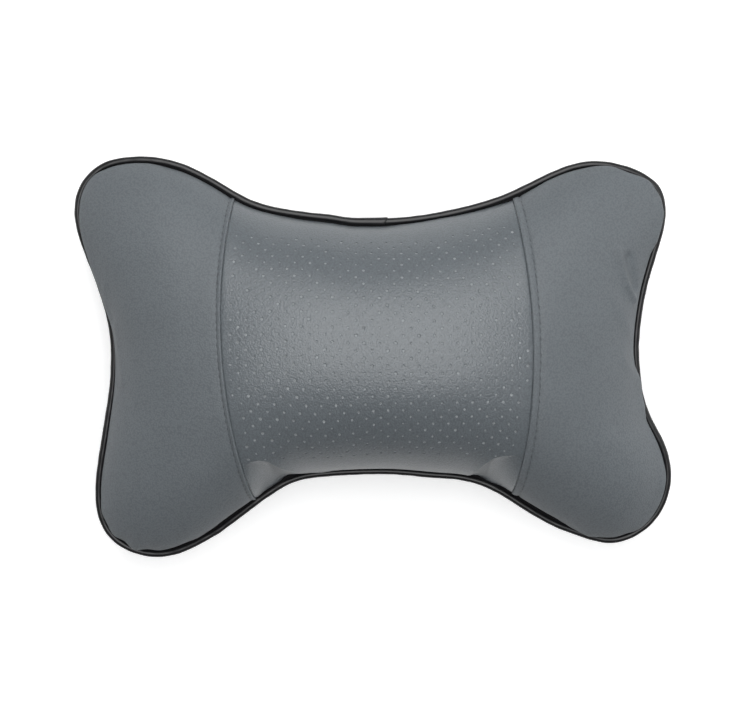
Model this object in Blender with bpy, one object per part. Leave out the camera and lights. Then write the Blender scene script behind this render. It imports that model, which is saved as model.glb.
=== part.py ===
# Car neck pillow: a bone-shaped headrest cushion in grey leathercloth, lying on its back.
# Three front panels (the middle one punched) and one back panel are sewn together round a black piped edge,
# stuffed with fibre, and carry an elastic strap across the back that goes round the headrest.
# +X runs along the pillow, +Y to its upper edge, +Z out of its front. The origin is under the middle, on the table.

import math

import bmesh
import bpy
import numpy as np

# Overall size, in metres
PILLOW_LENGTH = 0.280  # left to right, over the piping
PILLOW_HEIGHT = 0.190  # lower lobes to upper lobes, over the piping
FRONT_CROWN = 0.048  # how far the front bulges from the edge seam
BACK_CROWN = 0.046  # how far the back would bulge if it hung free
REST_FLATTENING = 0.004  # how far the pillow's weight presses the back in
TIP_DROOP = 0.004  # how far the four lobe tips hang below the waists
LOBE_FULLNESS = 2.8  # power of the crown's fall towards the two ends

# Cover, in metres
LAMINATE = 0.0030  # leathercloth with its bonded foam
PUNCHED_FACE = 0.0010  # the centre panel's leathercloth, without its foam
HEM_THICKNESS = 0.0012  # leathercloth turned in at the edge, foam pared away
SEAM_ALLOWANCE = 0.0060  # how far the hems and the piping's flange reach in
SEAM_DIP = 0.0012  # depth of the groove at the two upright seams
TOPSTITCH_OFFSET = 0.0028  # from an upright seam to its topstitching
CLEARANCE = 0.0003  # between pieces that touch
STUFFING_GAP = 0.0006  # between the stuffing and the lining over it, whose facets are finer
STUFFING_SLACK = 0.0015  # between the stuffing's loose edge and the hems

# Piping, in metres
PIPING_DIAMETER = 0.0032
PIPING_SKIN = 0.0005
JOINT_CENTRE = -0.0045  # where the piping's two ends meet, along the upper edge
JOINT_LENGTH = 0.0188  # of the wrap over them
JOINT_SKIN = 0.0003
JOINT_FIT = 0.00015  # between the wrap and the piping inside it
JOINT_OPENING = math.radians(50)  # half angle left open for the flange

# Strap, in metres
STRAP_WIDTH = 0.025
STRAP_THICKNESS = 0.0014
STRAP_CENTRE = 0.0  # height on the pillow

# Upright seams of the front: where each one leaves the edge, and how far it bows outwards between, in metres
LEFT_SEAM = {"top": -0.0636, "bottom": -0.0551, "bow": -0.0090}
RIGHT_SEAM = {"top": 0.0623, "bottom": 0.0634, "bow": 0.0082}

# Outer edge of the piping, clockwise from the upper left tip. Each list starts at a tip of a lobe. The points are
# drawn in millimetres, and the whole outline is then scaled to the pillow's length and height.
TOP_EDGE = [
    (-131.5, 87), (-110, 94), (-86, 89.5), (-58, 74.5), (-29.5, 67.5), (1, 65),
    (31.5, 68), (59.5, 75.5), (84, 87), (107, 92), (130.5, 82.5),
]
RIGHT_EDGE = [(136.5, 70.5), (132.5, 49), (126.5, 26.5), (124.5, 3), (127.5, -19.5), (137.5, -42), (140.5, -57)]
BOTTOM_EDGE = [
    (133, -78.5), (113.5, -89), (94.5, -84.5), (73, -74), (60, -66), (40, -59),
    (6, -56.5), (-25, -57), (-43, -62), (-60.5, -75), (-78, -87.5), (-102.5, -96),
]
LEFT_EDGE = [
    (-125.5, -85.5), (-131.5, -65), (-128, -40), (-123.5, -9), (-124.5, 14.5), (-131, 38.5), (-138.5, 63),
]

# Divisions of the cover
SIDE_COLUMNS = 10  # of each side panel, from its seam to the end
CENTRE_COLUMNS = 10
ROWS = 18
SPAN_STEPS = 24  # curve points between two outline points
EDGE_GRADING = 0.85  # 0 spaces the rows evenly, 1 as the sine of an even angle
STRAP_ROWS = 4
BEAD_SIDES = 9  # of the piping's round outside
CORD_SIDES = 6

# What the sizes above give
BEAD_RADIUS = PIPING_DIAMETER / 2
CORD_RADIUS = BEAD_RADIUS - PIPING_SKIN - CLEARANCE
FLANGE_HALF = PIPING_SKIN + CLEARANCE / 2
EDGE_INSET = PIPING_DIAMETER + CLEARANCE  # from the outline to the panels' edge
HEM_LEVEL = FLANGE_HALF + CLEARANCE  # the hems' height from the middle of the seam
REST_LEVEL = STRAP_THICKNESS + CLEARANCE  # the back panel's flat, with the strap under it
SEAM_LEVEL = REST_LEVEL + BACK_CROWN - REST_FLATTENING
FIRST_SEAM = SIDE_COLUMNS
LAST_SEAM = SIDE_COLUMNS + CENTRE_COLUMNS
COLUMNS = LAST_SEAM + SIDE_COLUMNS

MATERIALS = {
    "grey_leather": ((0.150, 0.170, 0.184), 0.46),
    "punched_leather": ((0.165, 0.186, 0.200), 0.44),
    "foam": ((0.62, 0.63, 0.62), 0.95),
    "black_piping": ((0.018, 0.018, 0.019), 0.38),
    "piping_cord": ((0.70, 0.69, 0.66), 0.90),
    "fibre": ((0.86, 0.86, 0.84), 1.00),
    "elastic": ((0.014, 0.014, 0.015), 0.85),
}


def closed_curve(points):
    """A smooth closed curve through the points, as rows of x, y and the outward direction."""
    p = np.array(points, float)
    count = len(p)
    ahead = np.roll(p, -1, axis=0)
    chord = np.linalg.norm(ahead - p, axis=1)
    system = np.zeros((count, count))
    known = np.zeros((count, 2))
    for i in range(count):
        before, after = chord[i - 1], chord[i]
        system[i, i - 1] += after
        system[i, i] += 2 * (before + after)
        system[i, (i + 1) % count] += before
        known[i] = 3 * (after / before * (p[i] - p[i - 1]) + before / after * (ahead[i] - p[i]))
    slope = np.linalg.solve(system, known)
    t = (np.arange(SPAN_STEPS) / SPAN_STEPS)[:, None]
    spans = [
        (2 * t**3 - 3 * t**2 + 1) * p[i]
        + (t**3 - 2 * t**2 + t) * chord[i] * slope[i]
        + (3 * t**2 - 2 * t**3) * ahead[i]
        + (t**3 - t**2) * chord[i] * slope[(i + 1) % count]
        for i in range(count)
    ]
    curve = np.vstack(spans)
    low, high = curve.min(axis=0), curve.max(axis=0)
    curve = (curve - (low + high) / 2) / (high - low) * (PILLOW_LENGTH, PILLOW_HEIGHT)
    tangent = np.roll(curve, -1, axis=0) - np.roll(curve, 1, axis=0)
    outward = np.column_stack([-tangent[:, 1], tangent[:, 0]])
    outward /= np.linalg.norm(outward, axis=1)[:, None]
    return np.column_stack([curve, outward])


def edges_of(curve):
    """The closed curve cut at the four tips, each edge running left to right or bottom to top."""
    cuts = np.cumsum([0, len(TOP_EDGE), len(RIGHT_EDGE), len(BOTTOM_EDGE), len(LEFT_EDGE)]) * SPAN_STEPS
    looped = np.vstack([curve, curve[:1]])
    top, right, bottom, left = [looped[a : b + 1] for a, b in zip(cuts[:-1], cuts[1:])]
    return {"top": top, "right": right[::-1], "bottom": bottom[::-1], "left": left}


def between(line, shares, start=None, end=None):
    """Points of a line at shares of its length, on the stretch from x = start to x = end."""
    length = np.concatenate([[0], np.cumsum(np.linalg.norm(np.diff(line[:, :2], axis=0), axis=1))])
    a = 0.0 if start is None else np.interp(start, line[:, 0], length)
    b = length[-1] if end is None else np.interp(end, line[:, 0], length)
    places = a + (b - a) * np.asarray(shares)
    return np.column_stack([np.interp(places, length, column) for column in line.T])


def graded(t):
    """Pulls evenly spaced values in -1..1 towards the two ends."""
    return (1 - EDGE_GRADING) * t + EDGE_GRADING * np.sin(t * math.pi / 2)


class Cover:
    """The grid that every layer of the cushion follows: columns along X, rows along Y."""

    def __init__(self):
        self.edges = edges_of(closed_curve(TOP_EDGE + RIGHT_EDGE + BOTTOM_EDGE + LEFT_EDGE))
        self.rows = (1 + graded(np.linspace(-1, 1, ROWS + 1))) / 2
        seams = (LEFT_SEAM, RIGHT_SEAM)
        self.shares = self.column_shares(seams[1]["top"] - seams[0]["top"])
        self.rim = {
            "left": between(self.edges["left"], self.rows),
            "right": between(self.edges["right"], self.rows),
        }
        for side in ("bottom", "top"):
            first, last = seams[0][side], seams[1][side]
            stretches = [
                between(self.edges[side], self.shares[0], None, first),
                between(self.edges[side], self.shares[1], first, last),
                between(self.edges[side], self.shares[2], last, None),
            ]
            self.rim[side] = np.vstack([stretches[0][:-1], stretches[1][:-1], stretches[2]])
        middle = self.plan(EDGE_INSET)[:, ROWS // 2, 0]
        along = np.where(middle < 0, middle / middle[0], middle / middle[-1])
        fall = np.sqrt(np.clip(1 - np.abs(along) ** LOBE_FULLNESS, 0, 1))
        rise = np.sqrt(np.clip(1 - (2 * self.rows - 1) ** 2, 0, 1))
        self.fullness = fall[:, None] * rise[None, :]

    def column_shares(self, centre_width):
        """Where the columns lie in the left, centre and right panels, as shares of each panel's width."""
        side_width = (PILLOW_LENGTH - centre_width) / 2
        start = 0.35
        angles = np.linspace(start, 1, SIDE_COLUMNS)
        outer = (graded(angles) - graded(start)) / (graded(1) - graded(start))
        roll = TOPSTITCH_OFFSET / side_width
        right = np.concatenate([[0], roll + (1 - roll) * outer])
        roll = TOPSTITCH_OFFSET / centre_width
        centre = np.concatenate([[0], np.linspace(roll, 1 - roll, CENTRE_COLUMNS - 1), [1]])
        return [1 - right[::-1], centre, right]

    def plan(self, inset):
        """The grid seen from above, with its rim moved in from the piping's outer edge."""
        rim = {side: points[:, :2] - inset * points[:, 2:] for side, points in self.rim.items()}
        v = self.rows[:, None]
        posts = [rim["left"]]
        for column, seam in ((FIRST_SEAM, LEFT_SEAM), (LAST_SEAM, RIGHT_SEAM)):
            post = rim["bottom"][column] * (1 - v) + rim["top"][column] * v
            post[:, 0] += seam["bow"] * 4 * self.rows * (1 - self.rows)
            posts.append(post)
        posts.append(rim["right"])
        cuts = (0, FIRST_SEAM, LAST_SEAM, COLUMNS)
        patches = []
        for k in range(3):
            span = slice(cuts[k], cuts[k + 1] + 1)
            patch = coons(posts[k], posts[k + 1], rim["bottom"][span], rim["top"][span], self.shares[k], self.rows)
            patches.append(patch if k == 2 else patch[:-1])
        return np.concatenate(patches)

    def layer(self, depth, rim_level, crown_level, floor=None):
        """A surface of the cushion: depth is how far its rim lies inside the panels' edge."""
        plan = self.plan(EDGE_INSET + depth)
        z = rim_level + (crown_level - rim_level) * self.fullness - droop(plan)
        if crown_level > rim_level:
            groove = SEAM_DIP * np.sqrt(1 - (2 * self.rows - 1) ** 2)
            z[FIRST_SEAM] -= groove
            z[LAST_SEAM] -= groove
        if floor is not None:
            z = np.maximum(z, floor)
        return np.concatenate([plan, z[:, :, None]], axis=2)

    def rim_directions(self):
        """The outward direction at each grid point of the rim, zero elsewhere."""
        out = np.zeros((COLUMNS + 1, ROWS + 1, 3))
        out[0, :, :2] = self.rim["left"][:, 2:]
        out[-1, :, :2] = self.rim["right"][:, 2:]
        out[:, 0, :2] = self.rim["bottom"][:, 2:]
        out[:, -1, :2] = self.rim["top"][:, 2:]
        return out

    def loop(self):
        """The grid's rim as one loop of column and row numbers, clockwise from the upper left tip."""
        top = [(i, ROWS) for i in range(COLUMNS)]
        right = [(COLUMNS, j) for j in range(ROWS, 0, -1)]
        bottom = [(i, 0) for i in range(COLUMNS, 0, -1)]
        left = [(0, j) for j in range(ROWS)]
        return top + right + bottom + left


def coons(left, right, bottom, top, u, v):
    """A patch filled in between its four sides."""
    u, v = u[:, None, None], v[None, :, None]
    across = (1 - u) * left[None] + u * right[None]
    upward = (1 - v) * bottom[:, None] + v * top[:, None]
    low = (1 - u) * bottom[0] + u * bottom[-1]
    high = (1 - u) * top[0] + u * top[-1]
    return across + upward - (1 - v) * low - v * high


def droop(xy):
    """How far a point hangs down because the lobe tips sag."""
    reach = (2 * xy[..., 0] / PILLOW_LENGTH) ** 2 * (2 * xy[..., 1] / PILLOW_HEIGHT) ** 2
    return TIP_DROOP * reach


def add_object(name, vertices, faces, material, parent):
    """One closed piece, with its faces turned outwards."""
    mesh = bpy.data.meshes.new(name)
    mesh.from_pydata([tuple(v) for v in vertices], [], faces)
    shape = bmesh.new()
    shape.from_mesh(mesh)
    if shape.calc_volume(signed=True) < 0:
        bmesh.ops.reverse_faces(shape, faces=shape.faces)
    shape.to_mesh(mesh)
    shape.free()
    mesh.shade_smooth()
    mesh.set_sharp_from_angle(angle=math.radians(40))
    mesh.materials.append(bpy.data.materials[material])
    piece = bpy.data.objects.new(name, mesh)
    piece.parent = parent
    bpy.context.scene.collection.objects.link(piece)
    return piece


def grid_faces(first, last, rows=ROWS):
    """The triangles between two columns of a grid, with diagonals that point to the middle of the pillow.
    The points are numbered up each column in turn, from the first."""
    faces = []
    for i in range(first, last):
        for j in range(rows):
            a = (i - first) * (rows + 1) + j
            b, c, d = a + rows + 1, a + rows + 2, a + 1
            if (i < COLUMNS / 2) == (j < rows / 2):
                faces += [(a, b, c), (a, c, d)]
            else:
                faces += [(a, b, d), (b, c, d)]
    return faces


def between_faces(outer, inner, faces):
    """Closes the space between two matching sheets of the same faces."""
    count = len(outer)
    used = {edge: True for face in faces for edge in zip(face, face[1:] + face[:1])}
    rim = [(b, a, a + count, b + count) for a, b in used if (b, a) not in used]
    below = [tuple(k + count for k in reversed(face)) for face in faces]
    return np.vstack([outer, inner]), faces + rim + below


def panel(name, cover, first, last, outer, inner, hem, material, parent, side=1):
    """A sewn panel between two columns, with its outer edge turned in along the edge seam.
    side is 1 on the front, -1 on the back, and hem is the thickness of what is turned in."""
    outer, inner = outer[first : last + 1].copy(), inner[first : last + 1].copy()
    for sheet in (outer, inner):
        if first > 0:
            sheet[0] += (sheet[1] - sheet[0]) * share_of(sheet[0], sheet[1], CLEARANCE / 2)
        if last < COLUMNS:
            sheet[-1] += (sheet[-2] - sheet[-1]) * share_of(sheet[-1], sheet[-2], CLEARANCE / 2)
    rows = ROWS + 1
    faces = grid_faces(first, last)
    number = {(first + i, j): i * rows + j for i in range(last - first + 1) for j in range(rows)}
    loop = cover.loop()
    out = cover.rim_directions()
    turned = {}
    outside = list(outer.reshape(-1, 3))
    inside = list(inner.reshape(-1, 3))
    for place in loop:
        if place in number:
            edge = outside[number[place]]
            tip = edge - out[place] * SEAM_ALLOWANCE
            turned[place] = len(outside)
            outside.append(tip)
            inside.append(tip + np.array([0, 0, side * hem]))
    for a, b in zip(loop, loop[1:] + loop[:1]):
        if a in number and b in number and (a[0] == b[0] or a[1] == b[1]):
            faces.append((number[a], number[b], turned[b], turned[a]))
    vertices, faces = between_faces(np.array(outside), np.array(inside), faces)
    return add_object(name, vertices, faces, material, parent)


def share_of(start, end, distance):
    """How large a share of the way from start to end a distance is, row by row."""
    return (distance / np.linalg.norm((end - start)[:, :2], axis=1))[:, None]


def sweep(name, path, outward, section, material, parent):
    """A section of (out, up) points carried along a path, open at both ends and capped."""
    count = len(section)
    up = np.array([0, 0, 1.0])
    vertices = [p + n * r + up * z for p, n in zip(path, outward) for r, z in section]
    faces = [
        (k * count + i, k * count + (i + 1) % count, (k + 1) * count + (i + 1) % count, (k + 1) * count + i)
        for k in range(len(path) - 1)
        for i in range(count)
    ]
    faces.append(tuple(reversed(range(count))))
    faces.append(tuple((len(path) - 1) * count + i for i in range(count)))
    return add_object(name, vertices, faces, material, parent)


def arc(radius, start, end, count):
    """Points of (out, up) on an arc, from one angle to another."""
    angles = np.linspace(start, end, count)
    return [(radius * math.cos(a), radius * math.sin(a)) for a in angles]


def edge_line(cover, inset):
    """The middle line of the piping, from one side of its joint right round to the other."""
    top = cover.edges["top"]
    ends = [between(top, [0], JOINT_CENTRE + s * CLEARANCE, JOINT_CENTRE + s * CLEARANCE)[0] for s in (1, -1)]
    rim = {(i, ROWS): cover.rim["top"][i] for i in range(COLUMNS + 1)}
    rim.update({(i, 0): cover.rim["bottom"][i] for i in range(COLUMNS + 1)})
    rim.update({(0, j): cover.rim["left"][j] for j in range(ROWS + 1)})
    rim.update({(COLUMNS, j): cover.rim["right"][j] for j in range(ROWS + 1)})
    places = cover.loop()
    after = [p for p in places if p[1] == ROWS and rim[p][0] > ends[0][0] + CLEARANCE]
    before = [p for p in places if p[1] == ROWS and rim[p][0] < ends[1][0] - CLEARANCE]
    rest = [p for p in places if p[1] != ROWS or p[0] == COLUMNS]
    points = [ends[0]] + [rim[p] for p in after + [q for q in rest if q not in after] + before] + [ends[1]]
    return on_seam(np.array(points), inset)


def on_seam(points, inset):
    """Places rows of x, y and outward direction at the height of the edge seam."""
    xy = points[:, :2] - inset * points[:, 2:]
    path = np.column_stack([xy, SEAM_LEVEL - droop(xy)])
    return path, np.column_stack([points[:, 2:], np.zeros(len(points))])


def add_panels(cover, parent):
    """The three front panels, the foam that shows through the punched one, and the back panel."""
    rim = SEAM_LEVEL + HEM_LEVEL
    crown = SEAM_LEVEL + FRONT_CROWN
    face = cover.layer(0, rim, crown)
    lining = cover.layer(LAMINATE, rim + HEM_THICKNESS, crown - LAMINATE)
    for name, first, last in (("front_left_panel", 0, FIRST_SEAM), ("front_right_panel", LAST_SEAM, COLUMNS)):
        panel(name, cover, first, last, face, lining, HEM_THICKNESS, "grey_leather", parent)
    wrong_side = cover.layer(PUNCHED_FACE, rim + PUNCHED_FACE, crown - PUNCHED_FACE)
    panel(
        "front_centre_panel", cover, FIRST_SEAM, LAST_SEAM, face, wrong_side, PUNCHED_FACE, "punched_leather", parent
    )
    depth = PUNCHED_FACE + CLEARANCE
    foam_rim = rim + depth
    foam = [
        cover.layer(depth, foam_rim, crown - depth)[FIRST_SEAM : LAST_SEAM + 1],
        cover.layer(LAMINATE, foam_rim, crown - LAMINATE)[FIRST_SEAM : LAST_SEAM + 1],
    ]
    for sheet in foam:
        sheet[0] += (sheet[1] - sheet[0]) * share_of(sheet[0], sheet[1], CLEARANCE / 2)
        sheet[-1] += (sheet[-2] - sheet[-1]) * share_of(sheet[-1], sheet[-2], CLEARANCE / 2)
    vertices, faces = between_faces(
        foam[0].reshape(-1, 3), foam[1].reshape(-1, 3), grid_faces(FIRST_SEAM, LAST_SEAM)
    )
    add_object("centre_foam_backing", vertices, faces, "foam", parent)
    rim = SEAM_LEVEL - HEM_LEVEL
    crown = SEAM_LEVEL - BACK_CROWN
    face = cover.layer(0, rim, crown, REST_LEVEL)
    lining = cover.layer(LAMINATE, rim - HEM_THICKNESS, crown + LAMINATE, REST_LEVEL + LAMINATE)
    panel("back_panel", cover, 0, COLUMNS, face, lining, HEM_THICKNESS, "grey_leather", parent, side=-1)
    return face


def add_filling(cover, parent):
    """The stuffing: one body that fills the cover up to its hems."""
    depth = SEAM_ALLOWANCE + STUFFING_SLACK
    under = LAMINATE + STUFFING_GAP
    front = cover.layer(depth, SEAM_LEVEL, SEAM_LEVEL + FRONT_CROWN - under)[:, ::2]
    back = cover.layer(depth, SEAM_LEVEL, SEAM_LEVEL - BACK_CROWN + under, REST_LEVEL + under)[:, ::2]
    for seam in (FIRST_SEAM, LAST_SEAM):
        for beside in (seam - 1, seam + 1):
            front[beside, :, 2] = np.minimum(front[beside, :, 2], front[seam, :, 2])
    columns, rows = front.shape[0] - 1, front.shape[1] - 1
    vertices = list(front.reshape(-1, 3))
    below = np.arange(len(vertices)).reshape(columns + 1, rows + 1)
    for i in range(1, columns):
        for j in range(1, rows):
            below[i, j] = len(vertices)
            vertices.append(back[i, j])
    below = below.reshape(-1).tolist()
    over = grid_faces(0, columns, rows)
    faces = over + [tuple(below[k] for k in reversed(face)) for face in over]
    add_object("filling", vertices, faces, "fibre", parent)


def add_piping(cover, parent):
    """The piping: a strip folded round a cord, its two edges sewn in as a flange, and the wrap over its joint."""
    path, outward = edge_line(cover, BEAD_RADIUS)
    flange_tip = -(BEAD_RADIUS + CLEARANCE + SEAM_ALLOWANCE)
    neck = math.pi - math.asin(FLANGE_HALF / BEAD_RADIUS)
    inside = BEAD_RADIUS - PIPING_SKIN
    slit = CLEARANCE / 2
    inner_neck = math.pi - math.asin(slit / inside)
    section = (
        [(flange_tip, -FLANGE_HALF)]
        + arc(BEAD_RADIUS, -neck, neck, BEAD_SIDES)
        + [(flange_tip, FLANGE_HALF), (flange_tip, slit)]
        + arc(inside, inner_neck, -inner_neck, CORD_SIDES + 1)
        + [(flange_tip, -slit)]
    )
    sweep("piping_strip", path, outward, section, "black_piping", parent)
    turn = 2 * math.pi / CORD_SIDES
    round_section = arc(CORD_RADIUS, -math.pi, math.pi - turn, CORD_SIDES)
    sweep("piping_cord", path, outward, round_section, "piping_cord", parent)

    ends = [JOINT_CENTRE - JOINT_LENGTH / 2, JOINT_CENTRE + JOINT_LENGTH / 2]
    top = cover.rim["top"]
    inner_points = top[(top[:, 0] > ends[0]) & (top[:, 0] < ends[1])]
    end_points = [between(cover.edges["top"], [0], x, x) for x in ends]
    line = np.vstack([end_points[0], inner_points, end_points[1]])
    path, outward = on_seam(line, BEAD_RADIUS)
    reach = math.pi - JOINT_OPENING
    snug = BEAD_RADIUS + JOINT_FIT
    section = arc(snug + JOINT_SKIN, -reach, reach, BEAD_SIDES) + arc(snug, reach, -reach, BEAD_SIDES)
    sweep("piping_joint_wrap", path, outward, section, "black_piping", parent)


def add_strap(cover, back, parent):
    """The elastic strap: sewn in at both side seams, it lies against the back and is what the pillow rests on."""
    slope_x = np.gradient(back, axis=0)
    slope_y = np.gradient(back, axis=1)
    outward = np.cross(slope_y, slope_x)
    outward /= np.linalg.norm(outward, axis=2)[:, :, None]
    drop = BEAD_RADIUS + CLEARANCE + STRAP_THICKNESS / 2
    heights = STRAP_CENTRE + np.linspace(-0.5, 0.5, STRAP_ROWS + 1) * STRAP_WIDTH

    def station(column):
        """Points and outward directions across the strap at one column of the grid."""
        places = np.column_stack([np.interp(heights, back[column, :, 1], back[column, :, k]) for k in range(3)])
        away = np.column_stack([np.interp(heights, back[column, :, 1], outward[column, :, k]) for k in range(3)])
        return places, away / np.linalg.norm(away, axis=1)[:, None]

    stations = [station(i) for i in range(COLUMNS + 1)]
    for end, beside in ((0, 1), (COLUMNS, COLUMNS - 1)):
        near, far = stations[end], stations[beside]
        share = (drop / (near[0][:, 2] - far[0][:, 2]))[:, None]
        away = near[1] * (1 - share) + far[1] * share
        places = near[0] + (far[0] - near[0]) * share
        stations[end] = (places, away / np.linalg.norm(away, axis=1)[:, None])
    under = np.vstack([p + n * CLEARANCE for p, n in stations])
    over = np.vstack([p + n * (CLEARANCE + STRAP_THICKNESS) for p, n in stations])
    vertices, faces = between_faces(under, over, grid_faces(0, COLUMNS, STRAP_ROWS))
    add_object("elastic_strap", vertices, faces, "elastic", parent)


def add_materials():
    for name, (colour, roughness) in MATERIALS.items():
        material = bpy.data.materials.new(name)
        material.use_nodes = True
        shader = material.node_tree.nodes["Principled BSDF"]
        shader.inputs["Base Color"].default_value = (*colour, 1)
        shader.inputs["Roughness"].default_value = roughness
        shader.inputs["Metallic"].default_value = 0
        material.diffuse_color = (*colour, 1)


def main():
    for thing in list(bpy.data.objects):
        bpy.data.objects.remove(thing)
    add_materials()
    pillow = bpy.data.objects.new("neck_pillow", None)
    bpy.context.scene.collection.objects.link(pillow)
    cover = Cover()
    back = add_panels(cover, pillow)
    add_filling(cover, pillow)
    add_piping(cover, pillow)
    add_strap(cover, back, pillow)


main()
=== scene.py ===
import math

import bmesh
import bpy
import numpy as np
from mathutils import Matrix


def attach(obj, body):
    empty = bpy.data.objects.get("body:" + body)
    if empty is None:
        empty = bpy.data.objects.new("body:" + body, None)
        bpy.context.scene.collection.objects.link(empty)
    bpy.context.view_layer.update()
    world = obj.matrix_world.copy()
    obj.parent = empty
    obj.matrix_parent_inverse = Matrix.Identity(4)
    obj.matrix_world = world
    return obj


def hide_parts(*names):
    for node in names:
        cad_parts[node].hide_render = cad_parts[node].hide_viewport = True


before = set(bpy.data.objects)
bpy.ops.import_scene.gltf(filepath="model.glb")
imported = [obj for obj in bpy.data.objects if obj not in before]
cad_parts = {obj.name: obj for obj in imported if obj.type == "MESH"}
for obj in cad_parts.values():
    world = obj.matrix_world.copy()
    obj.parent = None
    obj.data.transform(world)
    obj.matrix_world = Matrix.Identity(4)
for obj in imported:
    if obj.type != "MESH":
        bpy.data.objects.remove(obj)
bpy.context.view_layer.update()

mm = 0.001

# where the photograph was taken from, and how its pixels turn into places on the pillow
photoView = {
    "width": 729, "height": 716,      # the photograph's frame, in pixels
    "pixelSize": 0.47 * mm,           # at the height of the edge seam
    "pillowMiddle": (375.4, 358.6),   # pixel of the middle of the pillow
    "tilt": math.radians(7.5),        # from straight above, towards the upper edge
    "distance": 1.30,
}

# the outline over the piping, clockwise from the upper left tip, each edge starting at the tip of a lobe
topEdge = [
    (-131.5, 87), (-110, 94), (-86, 89.5), (-58, 74.5), (-29.5, 67.5), (1, 65),
    (31.5, 68), (59.5, 75.5), (84, 87), (107, 92), (130.5, 82.5),
]
rightEdge = [
    (136.5, 70.5), (132.5, 49), (126.5, 26.5), (124.5, 3), (127.5, -19.5), (137.5, -42), (140.5, -57),
]
bottomEdge = [
    (133, -78.5), (113.5, -89), (94.5, -84.5), (73, -74), (60, -66), (40, -59),
    (6, -56.5), (-25, -57), (-43, -62), (-60.5, -75), (-78, -87.5), (-102.5, -96),
]
leftEdge = [
    (-125.5, -85.5), (-131.5, -65), (-128, -40), (-123.5, -9), (-124.5, 14.5), (-131, 38.5), (-138.5, 63),
]

cushion = {
    "length": 280 * mm, "height": 190 * mm,
    "frontCrown": 48 * mm, "backCrown": 46 * mm,
    "restLevel": 1.7 * mm,            # of the flat on the back, with the strap under it
    "seamLevel": 43.7 * mm,           # of the edge seam
    "tipDroop": 4 * mm,               # the lobe tips hang this much lower
    "frontLean": 0.050,               # the front is fullest a little below its middle
    "endPower": 2.8,                  # how squarely the crown falls to the two ends
    "edgeInset": 3.5 * mm,            # from the outline to the panels' edge
    "hemLevel": 0.95 * mm,            # of the panels' edge from the middle of the seam
    "endColumns": 30, "middleColumns": 46, "rows": 64,
    "curveSteps": 40,                 # places between two points of the outline
}
# the two upright seams: their ends on the outline, and how far they bow and sway between
leftSeam = {"top": -63.9 * mm, "bottom": -54.0 * mm, "bow": -8.9 * mm, "sway": 0.9 * mm}
rightSeam = {"top": 62.0 * mm, "bottom": 61.8 * mm, "bow": 8.2 * mm, "sway": 0}


# smooth closed curve through points, with its outward direction
def closedCurve(points, size, steps):
    p = np.array(points, float)
    count = len(p)
    ahead = np.roll(p, -1, axis=0)
    chord = np.linalg.norm(ahead - p, axis=1)
    system = np.zeros((count, count))
    known = np.zeros((count, 2))
    for i in range(count):
        before, after = chord[i - 1], chord[i]
        system[i, i - 1] += after
        system[i, i] += 2 * (before + after)
        system[i, (i + 1) % count] += before
        known[i] = 3 * (after / before * (p[i] - p[i - 1]) + before / after * (ahead[i] - p[i]))
    slope = np.linalg.solve(system, known)
    t = (np.arange(steps) / steps)[:, None]
    spans = []
    for i in range(count):
        start = (2 * t**3 - 3 * t**2 + 1) * p[i] + (t**3 - 2 * t**2 + t) * chord[i] * slope[i]
        stop = (3 * t**2 - 2 * t**3) * ahead[i] + (t**3 - t**2) * chord[i] * slope[(i + 1) % count]
        spans.append(start + stop)
    curve = np.vstack(spans)
    low, high = curve.min(axis=0), curve.max(axis=0)
    curve = (curve - (low + high) / 2) / (high - low) * size
    tangent = np.roll(curve, -1, axis=0) - np.roll(curve, 1, axis=0)
    outward = np.column_stack([-tangent[:, 1], tangent[:, 0]])
    outward /= np.linalg.norm(outward, axis=1)[:, None]
    return np.column_stack([curve, outward])


def lengthsAlong(points):
    return np.concatenate([[0], np.cumsum(np.linalg.norm(np.diff(points, axis=0), axis=1))])


# rows of a table, read at spots between its known ones
def readBetween(spots, known, table):
    return np.stack([np.interp(spots, known, column) for column in table.T], axis=-1)


def everyPair(first, second):
    return np.meshgrid(first, second, indexing="ij")


# 1 at the middle, falling to nothing past the half width, in one direction or more
def bulge(*directions):
    return np.exp(-sum(((value - middle) / half) ** 2 for value, middle, half in directions))


def pointsBetween(line, shares, start=None, end=None):
    length = lengthsAlong(line[:, :2])
    a = 0.0 if start is None else np.interp(start, line[:, 0], length)
    b = length[-1] if end is None else np.interp(end, line[:, 0], length)
    return readBetween(a + (b - a) * np.asarray(shares), length, line)


# grid of places that fills the space between four lines
def filledPatch(left, right, bottom, top, u, v):
    u, v = u[:, None, None], v[None, :, None]
    across = (1 - u) * left[None] + u * right[None]
    upward = (1 - v) * bottom[:, None] + v * top[:, None]
    low = (1 - u) * bottom[0] + u * bottom[-1]
    high = (1 - u) * top[0] + u * top[-1]
    return across + upward - (1 - v) * low - v * high


def droopAt(xy):
    x, y = 2 * xy[..., 0] / cushion["length"], 2 * xy[..., 1] / cushion["height"]
    return cushion["tipDroop"] * x ** 2 * y ** 2


# between the photograph's pixels and places on the pillow, from the height above the edge seam
def photoPlace(px, py, above=0.0):
    tilt, distance = photoView["tilt"], photoView["distance"]
    right = (px - photoView["pillowMiddle"][0]) * photoView["pixelSize"]
    up = (photoView["pillowMiddle"][1] - py) * photoView["pixelSize"]
    y = above * math.sin(tilt) + up * (1 - above * math.cos(tilt) / distance)
    y = y / (math.cos(tilt) + up * math.sin(tilt) / distance)
    return right * (distance - y * math.sin(tilt) - above * math.cos(tilt)) / distance, y


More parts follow.
